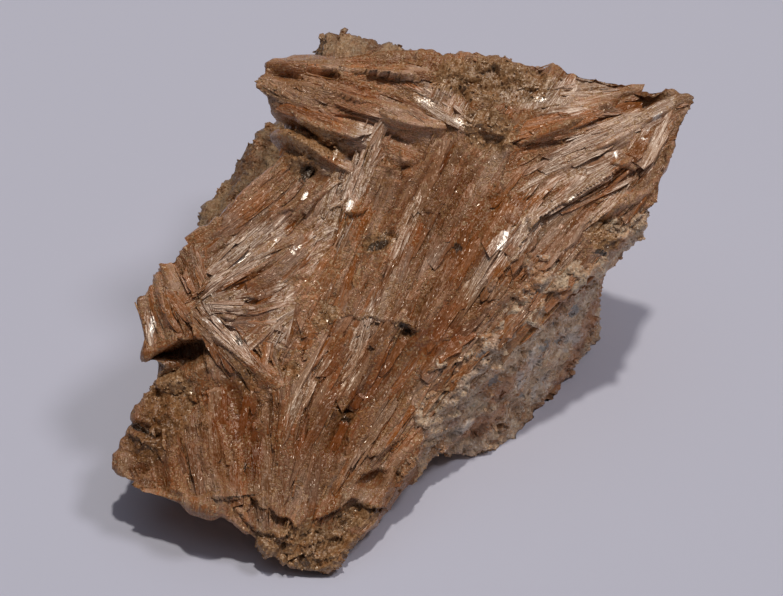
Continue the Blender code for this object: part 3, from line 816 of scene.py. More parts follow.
    # cleavage faces: each small cell of the stone turns its own way and sparkles in turn
    needles = node("TexVoronoi", [counted(fibre, NEEDLE_FACE), 1.0], "Color")
    crystals = node("TexVoronoi", [place_mm, 1 / CRYSTAL_WIDTH], "Color")
    cell = node("Mix", [granular_share, needles, crystals], data_type="RGBA")
    least = node("Math", [granular_share, DULL, SPARKLING], operation="MULTIPLY_ADD")
    sparkle = node("Math", [node("SeparateColor", [cell], "Green"), least], operation="GREATER_THAN")
    cleaved = 0.0
    for kind, strength in ((painted_sheen_and_glint, 0.8), (sparkle, 0.7), (glint, 0.95)):
        strong = node("Math", [kind, strength], operation="MULTIPLY")
        cleaved = node("Math", [cleaved, strong], operation="MAXIMUM")
    facing = node("VectorMath", [node("NewGeometry", [], "True Normal"), CLEAVAGE], operation="DOT_PRODUCT")
    cleaved = times(cleaved, facing, 0.25, 0.6)

    rough = node("MapRange", [node("SeparateColor", [cell], "Blue"), 0.0, 1.0, 0.16, 0.46])
    rough = node("Math", [rock, 0.12, rough], operation="MULTIPLY_ADD")
    for kind, roughness in ((painted_sheen_and_glint, 0.3), (glint, 0.22)):
        rough = node("Mix", [kind, rough, roughness], data_type="FLOAT")
    tree.links.new(rough, shader.inputs["Roughness"])
    shader.inputs["IOR"].default_value = STONE_IOR
    shader.inputs["Specular Tint"].default_value = linear("#fff4e6")

    needles_high = node("Mix", [0.4, hair, strand], data_type="FLOAT")
    grit_high = times(grit, rock, 0.0, 1.0, 0.4, 0.9)
    high = node("Mix", [granular_share, needles_high, grit_high], data_type="FLOAT")
    high = times(high, glassy, 0.0, 1.0, 1.0, 0.45)
    bump = node("Bump", [1.0, RELIEF * MM, None, high])
    tilted = node("Mix", [cleaved, bump, CLEAVAGE], data_type="VECTOR")
    lively = node("MapRange", [granular_share, 0.0, 1.0, 0.5, 0.62])
    lively = node("Math", [cleaved, -0.4, lively], operation="MULTIPLY_ADD")
    own_way = node("VectorMath", [cell, (0.5, 0.5, 0.5)], operation="SUBTRACT")
    turned = node("VectorMath", [own_way, lively, tilted], operation="MULTIPLY_ADD")
    tree.links.new(node("VectorMath", [turned], operation="NORMALIZE"), shader.inputs["Normal"])
    return material


# The matrix at the back is painted in shade: darker and warmer by these, from this far up
# over the next few mm, and less and less towards this far across.
BACK_SHADE, BACK_SHADE_WARM = 0.6, 0.85
BACK_SHADE_UP, BACK_SHADE_OVER, BACK_SHADE_ACROSS = 45.0, 5.0, 18.0
# The stone is paler to the right and upwards, by these at 30 mm from the middle and on.
PALER_RIGHT, PALER_UP, PALER_OVER, MIDDLE_UP = 0.06, 0.08, 30.0, 35.0
CRUST = 0.42  # share of the skin between the blades that is crusted with crumbs


def stone_values(points, along_and_across, tone, hue, rock=0.0, crumbs=0.0, glassy=0.0, pale=0.0):
    """What the material needs to know at each point: its fibre's own lengths, its tone and
    hue, and its share of each kind of patch, at least the one that is given."""
    place = in_face_frame(points)
    flat = np.ones(points.shape[:-1])
    rock = flat * rock
    right = np.clip(place[..., 0] / PALER_OVER, -1, 1)
    up = np.clip((place[..., 1] - MIDDLE_UP) / PALER_OVER, -1, 1)
    far_up = np.clip((place[..., 1] - BACK_SHADE_UP) / BACK_SHADE_OVER, 0, 1)
    # painted shade on the matrix at the back
    behind = rock * far_up * np.clip((BACK_SHADE_ACROSS - place[..., 0]) / BACK_SHADE_ACROSS, 0, 1)
    paler = PALER_UP * up + PALER_RIGHT * right - BACK_SHADE * behind
    # broad tones, among them painted light on the flank and painted shade in a pocket
    for *shape, change in TONES_AND_PAINTED_LIGHT:
        paler += change * np.exp(-(ellipse(place, *shape) ** 2))
    rusty, chalky = (rock * within(place, patches, FLANK_REACH) for patches in (RUSTY, WHITISH))
    return {
        "fibre": along_and_across,
        "tone": flat * tone + paler,
        "hue": flat * hue,
        "rock": rock,
        "crumbs": np.maximum(crumbs, within(place, CRUMBLED)),
        "glassy": np.maximum(np.maximum(glassy, rusty), within(place, GLASSY)),
        # pale: painted sheen on silvery sheaves and blades, and the matrix's own chalky grains
        "pale": np.maximum(np.maximum(pale, chalky), within(place, SHEEN_PATCHES, STAIN_REACH)),
        "sooty": within(place, SOOTY, STAIN_REACH),
        # warm: stains, and the painted shade on the matrix at the back
        "warm": np.maximum(within(place, WARM), BACK_SHADE_WARM * behind),
        "glint": within(place, GLINTS),
        "grey": within(place, GREY, FLANK_REACH),
    }


stone = crystal_and_matrix("bustamite_on_matrix")
lump = skin()
values = stone_values(lump["points"], lump["fibre"], lump["tone"], lump["hue"], lump["rock"], CRUST)
body = mesh_object(
    "bustamite_body",
    closed_grid_values(lump["points"]),
    closed_grid_faces(*lump["points"].shape[:2]),
    {key: closed_grid_values(grid) for key, grid in values.items()},
    stone,
)
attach(body, "root")
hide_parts("bustamite")

# --- The laths -----------------------------------------------------------------------
# Blades and splinters of bustamite that stand out of the broken face, from laths a few mm
# wide down to hair-fine needles.  Each is a straight, five-sided bar with broken ends, laid
# on whatever lies below it: the lump first, then the larger laths.

# How the blades lie on the main face: (across, up, angle from the right in degrees).
BLADES_LIE = (
    (-17.5, 70, -5), (-10, 71.5, -2), (0, 71.5, -4), (-14, 67, -28), (-8.5, 67.5, -18),
    (-1.5, 68, -20), (3.5, 69.5, -14), (-11, 64, -32), (-3.5, 64.5, -24), (-19, 67.5, -35),
    (5.5, 65.5, -38), (2, 68, -28), (20.5, 66, 8), (28, 66.5, 3), (22.5, 63.5, 14), (31, 64, 18),
    (19.5, 60.5, 20), (28, 60.5, 22), (35, 64, 28), (37.5, 66, 38), (17, 57, 32), (25, 57, 27),
    (35.5, 59, 62), (34, 54.5, 56), (28, 53.5, 28), (22.5, 52, 38), (18, 53.5, 52), (31, 50.5, 48),
    (26.5, 46.5, 48), (22.5, 46.5, 52), (18, 43.5, 56), (-10, 59, 68), (-7, 52, 74),
    (-8.5, 46.5, 70), (-3, 60.5, 68), (0, 55, 68), (4, 60, 66), (7.5, 56, 66), (11, 56.5, 58),
    (14, 52, 56), (10, 49.5, 62), (4, 46.5, 64), (0, 43.5, 66), (-4, 42, 70), (7, 39.5, 60),
    (12.5, 41, 56), (17, 38, 54), (4, 34, 60), (10, 31, 50), (0, 36.5, 64), (5.5, 27, 50),
    (-14, 20, 74), (-18.5, 16, 90), (-5.5, 20, 60), (-9, 28.5, 57), (-11.5, 18.5, 68),
    (-15.5, 13, 78), (-23.5, 18.5, 99), (-2, 21.5, 57), (0.5, 25, 55), (-7, 11.5, 62),
    (-13.5, 7.5, 75), (-21, 8.5, 93), (-27.5, 18.5, 100), (-26, 24, 103), (-21, 24.5, 88),
    (-29.5, 13, 106), (-3.5, 14.5, 58), (-28, 38, 35), (-24, 43, 36), (-19.5, 46.5, 40),
    (-16.5, 51, 42), (-22.5, 49.5, 38), (-16.5, 55, 46), (-13.5, 47.5, 52), (-13.5, 43.5, 46),
    (-19.5, 39.5, 18), (-22.5, 37.5, 3), (-15.5, 36.5, 40), (-26, 34, -48), (-22.5, 31, -48),
    (-23.5, 27.5, -62), (-16, 32.5, 62), (-12.5, 38, 68), (-18.5, 28, -72), (-27.5, 31, -68),
    (-26, 27.5, -74), (-33.5, 39.5, -68), (-34.5, 35.5, -73), (-31.5, 38, -60), (-31, 34, -62),
    (-29, 42, -62), (-35, 42.5, -60), (-33.5, 21.5, -80), (-36.5, 16, -70), (-38, 13, -60),
    (4, 20, 48), (14, 28.5, 46), (22.5, 35.5, 44), (28, 41, 45), (-3, 10, 50), (33.5, 48, 60),
    (12.5, 62, 60), (10, 70.5, -30), (17, 69, 20), (-16, 59, 70),
)
# The blades that stand out one by one: their two ends as (across, up, across, up), their
# width, how far they stand up, and their roll in degrees.
GREAT_BLADES = (
    (-18.5, 71.0, -1.7, 71.8, 1.8, 0.5, 8), (-16.2, 70.7, -9.5, 69.0, 1.3, 0.9, -6),
    (-10.6, 68.5, -4.5, 66.2, 1.4, 0.8, -10), (-3.1, 69.2, 3.4, 66.8, 2.1, 0.7, -8),
    (-17.6, 65.4, -9.0, 62.9, 2.0, 0.7, 14), (-15.7, 68.2, -6.7, 65.4, 0.8, 0.9, 6),
    (-14.0, 70.1, -7.7, 68.2, 0.8, 0.9, 10), (-7.7, 66.2, -0.7, 63.7, 1.3, 0.5, -6),
    (-19.3, 67.9, -14.0, 65.9, 1.3, 0.6, -8), (-0.7, 70.4, 5.6, 69.0, 1.4, 0.4, 4),
    (2.2, 57.8, -0.3, 49.1, 1.3, 0.2, -8), (9.8, 49.1, 7.3, 43.0, 1.8, 0.4, -8),
    (12.3, 47.7, 5.6, 38.2, 1.7, 0.4, 10), (16.8, 46.6, 10.9, 37.4, 1.7, 0.4, -6),
    (14.0, 46.6, 8.7, 38.2, 1.3, 0.5, 8), (18.8, 48.9, 12.0, 37.4, 0.8, 0.5, -20),
    (14.7, 45.2, 5.6, 31.9, 1.1, 0.3, -6), (9.8, 39.6, 3.5, 30.9, 1.4, 0.2, 6),
    (3.5, 50.1, -1.1, 39.6, 1.3, 0.3, -8), (6.3, 53.6, 3.4, 47.2, 1.3, 0.2, 8),
    (0.0, 45.2, -3.9, 35.4, 1.4, 0.1, -6), (-7.6, 30.9, -13.2, 20.9, 1.7, 0.4, -8),
    (-10.1, 34.3, -17.4, 20.0, 1.7, 0.5, 8), (-8.4, 26.7, -16.5, 11.3, 2.0, 0.5, -6),
    (-13.7, 26.5, -17.6, 16.4, 1.7, 0.4, 8), (-11.5, 28.1, -16.2, 18.6, 1.1, 0.6, -8),
    (0.0, 24.8, -6.7, 15.5, 1.4, 0.5, -6), (2.8, 24.5, -3.9, 15.5, 1.1, 0.4, 8),
    (-7.6, 16.1, -11.5, 8.5, 1.7, 0.4, -6), (-5.6, 18.6, -9.8, 10.8, 1.3, 0.5, 8),
    (-12.3, 14.4, -15.4, 6.3, 1.8, 0.5, -8), (-27.4, 23.7, -25.5, 14.1, 2.4, 0.4, 10),
    (-23.0, 20.9, -22.7, 14.4, 1.7, 0.5, -8), (-26.0, 27.0, -25.2, 19.7, 2.8, 0.2, 4),
    (-21.0, 26.5, -22.4, 18.6, 1.4, 0.4, 8), (-23.5, 15.8, -22.4, 9.1, 1.7, 0.4, -6),
    (-29.4, 18.6, -27.3, 10.2, 1.7, 0.3, 6), (-18.5, 14.4, -19.3, 7.4, 1.4, 0.4, -6),
    (-18.5, 33.5, -19.3, 26.5, 1.1, 0.4, -8), (-14.0, 38.2, -16.0, 31.2, 1.0, 0.4, 8),
    (-20.2, 46.6, -29.4, 38.2, 0.8, 0.8, 6), (-22.4, 47.2, -29.1, 40.2, 0.8, 0.7, -10),
    (-15.4, 42.1, -22.1, 38.5, 3.1, 0.2, -4), (-14.3, 46.6, -21.0, 43.7, 0.7, 0.9, 6),
    (-15.7, 51.4, -23.0, 46.1, 0.8, 0.7, -8), (-17.4, 52.5, -23.8, 47.7, 0.8, 0.6, 8),
    (-14.0, 54.2, -19.3, 49.1, 1.1, 0.5, -6), (-24.9, 29.0, -28.4, 35.7, 1.4, 0.4, -8),
    (-20.2, 31.2, -23.8, 36.0, 1.3, 0.3, 6), (-21.8, 27.6, -25.8, 32.1, 0.8, 0.6, -8),
    (-32.1, 35.1, -32.8, 39.9, 0.8, 0.5, 8), (-29.4, 35.6, -32.5, 39.6, 1.3, 0.6, -8),
    (-30.5, 33.2, -33.6, 38.2, 1.1, 0.5, 8), (-27.3, 39.6, -28.6, 43.5, 1.0, 0.6, -8),
    (31.4, 64.5, 22.4, 64.0, 1.0, 0.5, 6), (26.3, 64.0, 17.9, 61.5, 0.8, 0.2, -8),
    (30.8, 63.1, 20.3, 60.1, 1.1, 0.5, -6), (29.4, 61.5, 19.6, 57.5, 1.3, 0.5, 8),
    (28.0, 58.9, 19.6, 53.1, 1.3, 0.6, -6), (25.2, 60.1, 16.8, 55.6, 1.1, 0.4, 6),
    (32.8, 55.3, 22.4, 50.3, 0.8, 0.4, 12), (22.4, 55.6, 15.7, 49.1, 1.4, 0.5, -6),
    (33.6, 54.2, 28.0, 50.3, 1.4, 0.3, -10), (30.8, 52.8, 23.8, 46.9, 1.7, 0.2, 6),
    (26.0, 50.3, 21.0, 43.5, 1.7, 0.2, -6), (22.4, 48.9, 17.9, 43.0, 1.4, 0.3, 8),
    (36.4, 62.6, 33.6, 53.6, 1.3, 0.4, 14), (38.1, 65.7, 35.3, 59.2, 1.4, 0.4, 14),
    (40.4, 66.2, 37.0, 65.4, 1.7, 0.3, 0), (34.7, 53.6, 31.1, 48.6, 1.3, 0.3, 12),
    (37.5, 64.6, 31.1, 62.0, 1.1, 0.5, 4), (15.7, 59.2, 12.3, 54.2, 1.3, 0.3, -6),
    (18.2, 57.8, 12.3, 50.3, 1.1, 0.4, 8), (13.7, 59.2, 9.8, 52.2, 1.1, 0.3, -6),
    (11.2, 59.8, 7.0, 52.2, 1.3, 0.3, 6), (8.7, 62.0, 5.0, 55.6, 1.3, 0.2, -6),
)
GLASSY_BLADES = (
    (4.2, 59.5, 0.3, 54.2, 2.2, 0.0, 4), (10.4, 34.3, 4.2, 29.5, 2.8, 0.1, 4),
    (-1.2, 33.2, -5.6, 25.5, 2.4, 0.0, -8), (0.9, 33.0, -3.0, 27.5, 1.4, 0.1, 6),
    (-7.0, 22.0, -9.8, 16.6, 1.8, 0.0, 4), (-5.2, 25.6, -7.2, 22.6, 1.8, 0.1, 8),
    (-20.3, 18.1, -19.6, 12.7, 2.0, 0.1, -6), (34.4, 61.5, 32.2, 57.0, 2.2, 0.7, 12),
    (17.1, 52.8, 14.8, 48.6, 2.8, 0.4, -8),
)
# Blades with the silvery painted sheen in their colour, given in the same way:
SHEEN_BLADES = (
    (-4.8, 59.5, -7.8, 51.4, 2.1, 0.7, -10), (-6.7, 50.0, -9.8, 43.5, 1.0, 0.3, -8),
    (-0.2, 60.6, -4.5, 57.0, 1.3, 0.2, -10), (-3.2, 60.0, -5.4, 55.4, 1.1, 0.2, 8),
    (-4.5, 35.1, -6.7, 28.1, 0.7, 0.6, 8), (-16.0, 39.1, -16.9, 33.5, 1.4, 0.3, 0),
    (-19.3, 45.5, -28.6, 37.4, 0.7, 0.8, -6), (-18.2, 44.4, -25.2, 40.2, 1.3, 0.6, -8),
    (-21.0, 37.1, -27.6, 37.4, 1.7, 0.6, -6), (-20.4, 29.3, -27.2, 36.5, 1.4, 0.7, 4),
    (-34.9, 30.7, -35.4, 36.5, 1.1, 0.4, 0), (-29.3, 39.1, -30.4, 41.6, 0.8, 0.6, 0),
    (28.0, 67.9, 17.9, 67.3, 1.5, 0.5, 0), (32.5, 67.6, 22.4, 66.6, 1.1, 0.5, 6),
    (26.6, 65.7, 18.2, 65.1, 1.0, 0.4, -6), (33.9, 63.7, 26.3, 60.5, 1.4, 0.6, 6),
    (30.0, 56.1, 19.6, 49.8, 1.1, 0.8, 18),
)
# Section of a lath, as (share of its width, share of its thickness) round it, and how much
# paler the stone is there: on the edges the surface is worn to a thin crust, and the lower
# corners, where the lath meets what it lies on, are darker with painted shade.
LATH_SECTION = ((-0.5, -1.0), (-0.46, 0.5), (-0.1, 0.85), (0.44, 1.0), (0.5, -1.0))
LATH_CRUST_AND_SHADE = (-0.2, 0.2, -0.1, 0.2, -0.2)
# How laths differ: the share of their length and width by which stations and sides stray,
# and the widths at any station and the widths and thicknesses at the ends, as shares.
LATH_STRAY = 0.04
LATH_WIDTHS, END_WIDTHS, END_THICKNESSES = (0.8, 1.1), (0.45, 1.0), (0.1, 0.6)
OWN_PLACES = (300, 80, 40)  # ranges from which each lath draws its place in the fibres' patterns
SIDE_COUNTS = 0.7  # what a height on a lath's side counts in the fibres' length across
# The strips of a great blade: their widths as shares of the mean, and their lengths as shares
# of its own; by what share of it they shift lengthways, and by how many mm they rise.
STRIP_WIDTHS, STRIP_LENGTHS, STRIP_SHIFT, STRIP_RISE = (0.7, 1.3), (0.75, 1.0), 0.05, 0.08
STRIP_TURN, STRIP_ROLL = 0.02, 8  # in radians on the face, and in degrees about their length
GREAT_LIFT = 0.42  # of the great blades' heights, as they are sunk in the others
GREAT_THICK, GREAT_SUNK = 0.25, 0.12  # shares of their widths
GREAT_STATIONS = 8
# Strewn laths: how many, their lengths, widths, thicknesses and heights over what they lie
# on, their stations, and their share of crumbs.
STREWN = {
    "bustamite_laths": (430, (5, 14), (1.4, 3.6), (0.2, 0.4), (-0.32, 0.02), 6, (0.0, 0.45)),
    "bustamite_blades": (750, (3, 9), (0.5, 1.5), (0.12, 0.26), (-0.2, -0.02), 6, (0.0, 0.6)),
    "bustamite_splinters": (1600, (1.2, 5), (0.14, 0.4), (0.06, 0.14), (-0.1, -0.01), 4, (0.0, 0.8)),
}
STREWN_FROM, STREWN_TO = (-42, 0), (43, 75)
ROUGHEST, STEEPEST = 0.5, 0.45  # the most that the ground strays below one, and rises for each mm
STREWN_TURN, STREWN_ROLL, STREWN_TILT = math.radians(3.5), math.radians(11), 0.03
ON_GLASSY = 0.8  # what a glassy patch counts as a crumbled one, in keeping laths off it
OFF_CRUMBS = (0.1, 1.2)  # a lath stays where its share of crumbs is below one drawn from these

FACE_COLUMNS = sum(SKIN_AROUND[:4]) + 8  # of the skin's grid, on the main face and its rim
PILE_CELL = 0.35  # of the height field of all that lies on the main face
PILE_CORNER, PILE_CELLS = (-52.0, -10.0), (300, 280)
LATH_MARGIN = 0.02  # by which laths stay inside the solid's own box
MOST_CALM = 0.8  # share of a smooth patch of the rim up to which a lath may lie on it
NO_HEIGHT, DEEPEST = -99.0, -8.0  # of a cell with nothing in it, and of the cells that count


def lie_of_blades(spots):
    """Angles of the blades at (across, up): the known ones averaged as lines without a
    head or tail, each weighted by one over its distance to the fourth power."""
    known = np.array(BLADES_LIE)
    gap = np.sum((spots[:, None] - known[:, :2]) ** 2, -1) + 1.0
    turn = np.radians(2 * known[:, 2])
    return np.arctan2((np.sin(turn) / gap**2).sum(1), (np.cos(turn) / gap**2).sum(1)) / 2


def cells_of(spots):
    """Row and column of the height field's cell at (across, up)."""
    cells = ((spots - PILE_CORNER) / PILE_CELL).astype(int)
    return tuple(np.moveaxis(np.clip(cells, 0, np.array(PILE_CELLS) - 1), -1, 0))


def pile_up(heights, places):
    """Raises the height field to the points (across, up, out) that lie above it."""
    np.maximum.at(heights, cells_of(places[..., :2]), places[..., 2])


def smoothed(field, passes):
    """Mean of each known cell and its known neighbours, some times over."""
    known = ~np.isnan(field)
    shifts = [(i, j) for i in (-1, 0, 1) for j in (-1, 0, 1)]
    count = np.maximum(np.sum([np.roll(known, shift, (0, 1)) for shift in shifts], 0), 1)
    for _ in range(passes):
        filled = np.where(known, field, 0.0)
        total = np.sum([np.roll(filled, shift, (0, 1)) for shift in shifts], 0)
        field = np.where(known, total / count, np.nan)
    return field


def bearing(heights, spots, angle, long):
    """What a lath lies on: the mean height below it, the rise from the mean of the two points
    below its one end to that below its other, 5/6 of it apart, and how far the ground strays
    from that line."""
    line = np.stack((np.cos(angle), np.sin(angle)), -1)
    reach = np.linspace(-0.5, 0.5, 7)
    below = heights[cells_of(spots[:, None] + reach[:, None] * (long[:, None] * line)[:, None])]
    rise = below[:, 5:].mean(1) - below[:, :2].mean(1)
    stray = np.abs(below - below.mean(1, keepdims=True) - rise[:, None] * 1.2 * reach)
    return below.mean(1), rise, stray.max(1)


def laths(spots, angle, long, wide, thick, high, rise, roll, stations, dice):
    """Points (lath, station, corner) of straight laths in the face frame, and the same
    points' lengths along and across their lath.

    The section, scaled by width and thickness, is carried along each lath's axis from one
    end to the other, drawn in at random at each station and cut off askew at both ends.
    Then it is rolled about the axis, and the axis tilts by its rise."""
    n = len(spots)
    even = np.linspace(-0.5, 0.5, stations)
    along = even + dice.normal(0, LATH_STRAY, (n, stations)) * (np.abs(even) < 0.5)
    taper = np.clip(dice.uniform(*LATH_WIDTHS, (n, stations)), 0, 1)
    taper[:, [0, -1]] *= dice.uniform(*END_WIDTHS, (n, 2))
    sideways, upwards = np.array(LATH_SECTION).T
    swerve = dice.normal(0, LATH_STRAY, (n, stations, 1))
    across = (taper[..., None] * sideways + swerve) * wide[:, None, None]
    above = np.broadcast_to(upwards, across.shape) * thick[:, None, None]
    thin = np.clip(taper, END_THICKNESSES[1], 1)
    thin[:, [0, -1]] = dice.uniform(*END_THICKNESSES, (n, 2))
    above = np.where(above > 0, above * thin[..., None], above)
    cut = dice.uniform(-1.0, 1.0, (n, stations, 1)) * (np.abs(along) > 0.4)[..., None]
    roll, high, rise, long, angle = (v[:, None, None] for v in (roll, high, rise, long, angle))
    along = along[..., None] * long + cut * across
    across, above = (across * np.cos(roll) - above * np.sin(roll),
                     above * np.cos(roll) + across * np.sin(roll))
    above = above + high + along * (rise / long)
    x = spots[:, 0, None, None] + along * np.cos(angle) - across * np.sin(angle)
    y = spots[:, 1, None, None] + along * np.sin(angle) + across * np.cos(angle)
    own = dice.random((n, 1, 1, 3)) * OWN_PLACES
    fibre = own + np.stack((along, across + SIDE_COUNTS * above, 0 * along), -1)
    return np.stack((x, y, above), -1), fibre


def great_laths(blades, heights, strips, dice):
    """Laths between known ends, each split lengthways into strips of uneven width, height
    and length, which are a quarter as thick as they are wide.  A single strip doesn't stray."""
    ends = np.repeat(np.array(blades), strips, 0)
    n = len(ends)
    width, height, lean = ends[:, 4:].T
    share = dice.uniform(*STRIP_WIDTHS, n) / strips
    strip = np.tile((np.arange(strips) + 0.5) / strips - 0.5, len(blades))
    run = ends[:, 2:4] - ends[:, :2]
    long = np.hypot(run[:, 0], run[:, 1])
    aside = np.stack((-run[:, 1], run[:, 0]), -1) / long[:, None]
    shift = dice.normal(0, STRIP_SHIFT, n) if strips > 1 else np.zeros(n)
    middle = (ends[:, :2] + ends[:, 2:4]) / 2
    spots = middle + aside * (strip * width)[:, None] + run * shift[:, None]
    angle = np.arctan2(run[:, 1], run[:, 0])
    angle = angle + (dice.normal(0, STRIP_TURN, n) if strips > 1 else 0)
    long = long * dice.uniform(*STRIP_LENGTHS, n)
    ground, rise, _ = bearing(smoothed(heights, 6), spots, angle, long)
    wide = width * share
    roll = np.radians(lean + dice.normal(0, STRIP_ROLL, n) * (strips > 1))
    lift = GREAT_LIFT * height + dice.normal(0, STRIP_RISE, n) * (strips > 1)
    high = ground + lift + strip * width * np.tan(np.radians(lean)) - GREAT_SUNK * wide
    return laths(spots, angle, long, wide, GREAT_THICK * wide, high, rise, roll, GREAT_STATIONS, dice)


def strewn_laths(heights, count, length, width, thickness, lift, stations, dice):
    """Laths at random places, as the sheaf there lies; none bridges a step of the face or
    lies on the crumbled patches."""
    spots = dice.uniform(STREWN_FROM, STREWN_TO, (count, 2))
    angle = lie_of_blades(spots) + dice.normal(0, STREWN_TURN, count)
    sizes = length, width, thickness
    long, wide, thick = (low * (high / low) ** dice.random(count) for low, high in sizes)
    middle, rise, stray = bearing(smoothed(heights, 2), spots, angle, long)
    on_face = np.concatenate((spots, spots[:, :1] * 0), 1)
    crumbled = np.maximum(within(on_face, CRUMBLED), ON_GLASSY * within(on_face, GLASSY))
    keep = (stray < ROUGHEST) & (np.abs(rise) < STEEPEST * long)
    keep &= crumbled < dice.uniform(*OFF_CRUMBS, count)
    high = middle + dice.uniform(*lift, count)
    rise = rise + long * dice.normal(0, STREWN_TILT, count)
    roll = dice.normal(0, STREWN_ROLL, count)
    chosen = [v[keep] for v in (spots, angle, long, wide, thick, high, rise, roll)]
    return laths(*chosen, stations, dice)


def lath_faces(laths_count, stations):
    """Faces of the laths, all outwards: four-sided along them and a pentagon at each end."""
    first = np.arange(laths_count)[:, None, None] * stations * 5
    s, c = np.arange(stations - 1)[:, None], np.arange(5)
    d = (c + 1) % 5
    sides = first[..., None] + np.stack((s * 5 + c, s * 5 + 5 + c, s * 5 + 5 + d, s * 5 + d), -1)
    ends = first[:, 0] + np.arange(5)
    return sides.reshape(-1, 4), ends, ends[:, ::-1] + 5 * (stations - 1)


def sown(places, fibre, dice, crust=(0, 0), **kind):
    """Those laths that stay inside the lump's box and off the smooth parts of the rim, with
    their values for the material."""
    points = on_table(places)
    inside = ((points > lowest + LATH_MARGIN) & (points < highest - LATH_MARGIN)).all((1, 2, 3))
    kept = [v[inside] for v in (places, points, fibre)]
    flat = np.ones(kept[0].shape[:-1])
    for span in ((0, 1), (0, 1), crust):
        kept.append(flat * dice.uniform(*span, (len(flat), 1, 1)))
    clear = (within(kept[0], CALM) < MOST_CALM).all((1, 2))
    places, points, fibre, tone, hue, crumbs = (v[clear] for v in kept)
    # crust on the lath's edges, and painted shade at its foot
    return places, stone_values(points, fibre, tone + LATH_CRUST_AND_SHADE, hue, crumbs=crumbs, **kind), points


def small_solids(name, points, faces, values):
    """A flat-faced piece of many small solids, from the points and values of each."""
    flat = {key: grid.reshape(-1, *grid.shape[points.ndim - 1 :]) for key, grid in values.items()}
    piece = mesh_object(name, points.reshape(-1, 3), faces, flat, stone)
    piece.data.shade_flat()
    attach(piece, "root")


def pile_up_laths(heights, places):
    """Raises the height field to the laths' upper edges, read at close steps."""
    finely = np.linspace(0, 1, 24)[:, None]
    for corner in (1, 2, 3):
        start, end = places[:, :-1, None, corner], places[:, 1:, None, corner]
        step = start * (1 - finely) + end * finely
        known = ~np.isnan(heights[cells_of(step[..., :2])])
        pile_up(heights, step[known])


heights = np.full(PILE_CELLS, NO_HEIGHT)
pile_up(heights, in_face_frame(lump["points"][2:])[:, :FACE_COLUMNS])
heights[heights < DEEPEST] = np.nan

dice = np.random.default_rng(101)
great = [
    sown(*great_laths(GREAT_BLADES, heights, 1, dice), dice, (0.0, 0.3)),
    sown(*great_laths(GLASSY_BLADES, heights, 1, dice), dice, glassy=1.0),
    # the silvery blades get painted sheen in their colour
    sown(*great_laths(SHEEN_BLADES, heights, 3, dice), dice, pale=0.9),
]
pieces = {"bustamite_great_blades": great}
laid_last = great
for name, (*shape, crust) in STREWN.items():
    pieces[name] = [sown(*strewn_laths(heights, *shape, dice), dice, crust)]
    for places, _, _ in laid_last + pieces[name]:
        pile_up_laths(heights, places)
    laid_last = []
for name, groups in pieces.items():
    points = np.concatenate([group[2] for group in groups])
    values = {key: np.concatenate([group[1][key] for group in groups]) for key in groups[0][1]}
    small_solids(name, points, lath_faces(*points.shape[:2]), values)

# --- The crumbs and grains -----------------------------------------------------------
# Loose-looking crumbs of bustamite in the broken patches and between the blades, and the
# grains of the matrix.  Each is a small lump of twenty faces, half sunk in the skin.

# How many lumps each piece has, their least and greatest half length, and whether they are
# of matrix.
LUMPS = {"bustamite_crumbs": (4200, 0.12, 0.4, 0.0), "matrix_grains": (4400, 0.2, 0.75, 1.0)}
CORNERS_OUT = (0.7, 1.25)  # how far out their corners are, as a share of the half length
FLATTEST = 0.4  # share to which one may be flattened
SUNK = (-0.7, 0.1)  # of their middles under the skin, as shares of their half length
LUMP_MARGIN = 0.01  # by which they stay inside the solid's own box
LOWEST_LUMP = 0.6  # height of the skin above the table from which they lie on it
GATHERING = ((2.2, 1.0), (0.9, 0.5))  # they gather in patches: (length, how strongly)
# Crumbs lie between the blades where that gathering is above this, and count this much
# against those of the broken patches.  Grains lie where it is above minus this, or as
# sparsely as this.
CRUMBS_ABOVE, CRUMBS_BETWEEN = 0.1, 0.5
GRAINS_BELOW, GRAINS_LEAST = 0.6, 0.1


def grains(where, sizes, dice):
    """Points (grain, corner) of icosahedra at (x, y, height), of random half lengths, with
    each corner moved in or out, flattened and turned at random."""
    golden = (1 + math.sqrt(5)) / 2
    pairs = [(i, golden * j) for i in (-1, 1) for j in (-1, 1)]
    corners = np.array([np.roll((0, i, j), turn) for turn in (0, -1, -2) for i, j in pairs])
    corners = corners / np.linalg.norm(corners[0])
    shape = corners * dice.uniform(*CORNERS_OUT, (len(where), 12, 1)) * sizes[:, None, None]
    shape = shape * dice.uniform(FLATTEST, 1.0, (len(where), 1, 3))
    turn = np.linalg.qr(dice.normal(size=(len(where), 3, 3)))[0]
    turn = turn * np.sign(np.linalg.det(turn))[:, None, None]
    return where[:, None] + np.einsum("nij,nkj->nki", turn, shape), corners


def icosahedron_faces(corners):
    """The twenty triangles of three corners that all lie an edge's length apart, outwards."""
    apart = np.linalg.norm(corners[:, None] - corners, axis=-1)
    near = np.isclose(apart, apart[apart > 0.1].min())
    faces = []
    for a, b, c in ((a, b, c) for a in range(12) for b in range(a) for c in range(b)):
        if near[a, b] and near[b, c] and near[a, c]:
            normal = np.cross(corners[b] - corners[a], corners[c] - corners[a])
            faces.append((a, b, c) if np.dot(normal, corners[a]) > 0 else (a, c, b))
    return np.array(faces)


def spots_on_skin(weight, count, dice):
    """Random numbers of skin points, each as likely as its weight times the skin there."""
    points = lump["points"]
    to_next = np.gradient(points, axis=0), np.roll(points, -1, 1) - points
    area = np.linalg.norm(np.cross(*to_next), axis=-1)
    chance = (weight * area * (points[..., 2] > LOWEST_LUMP)).ravel()
    return dice.choice(chance.size, count, p=chance / chance.sum())


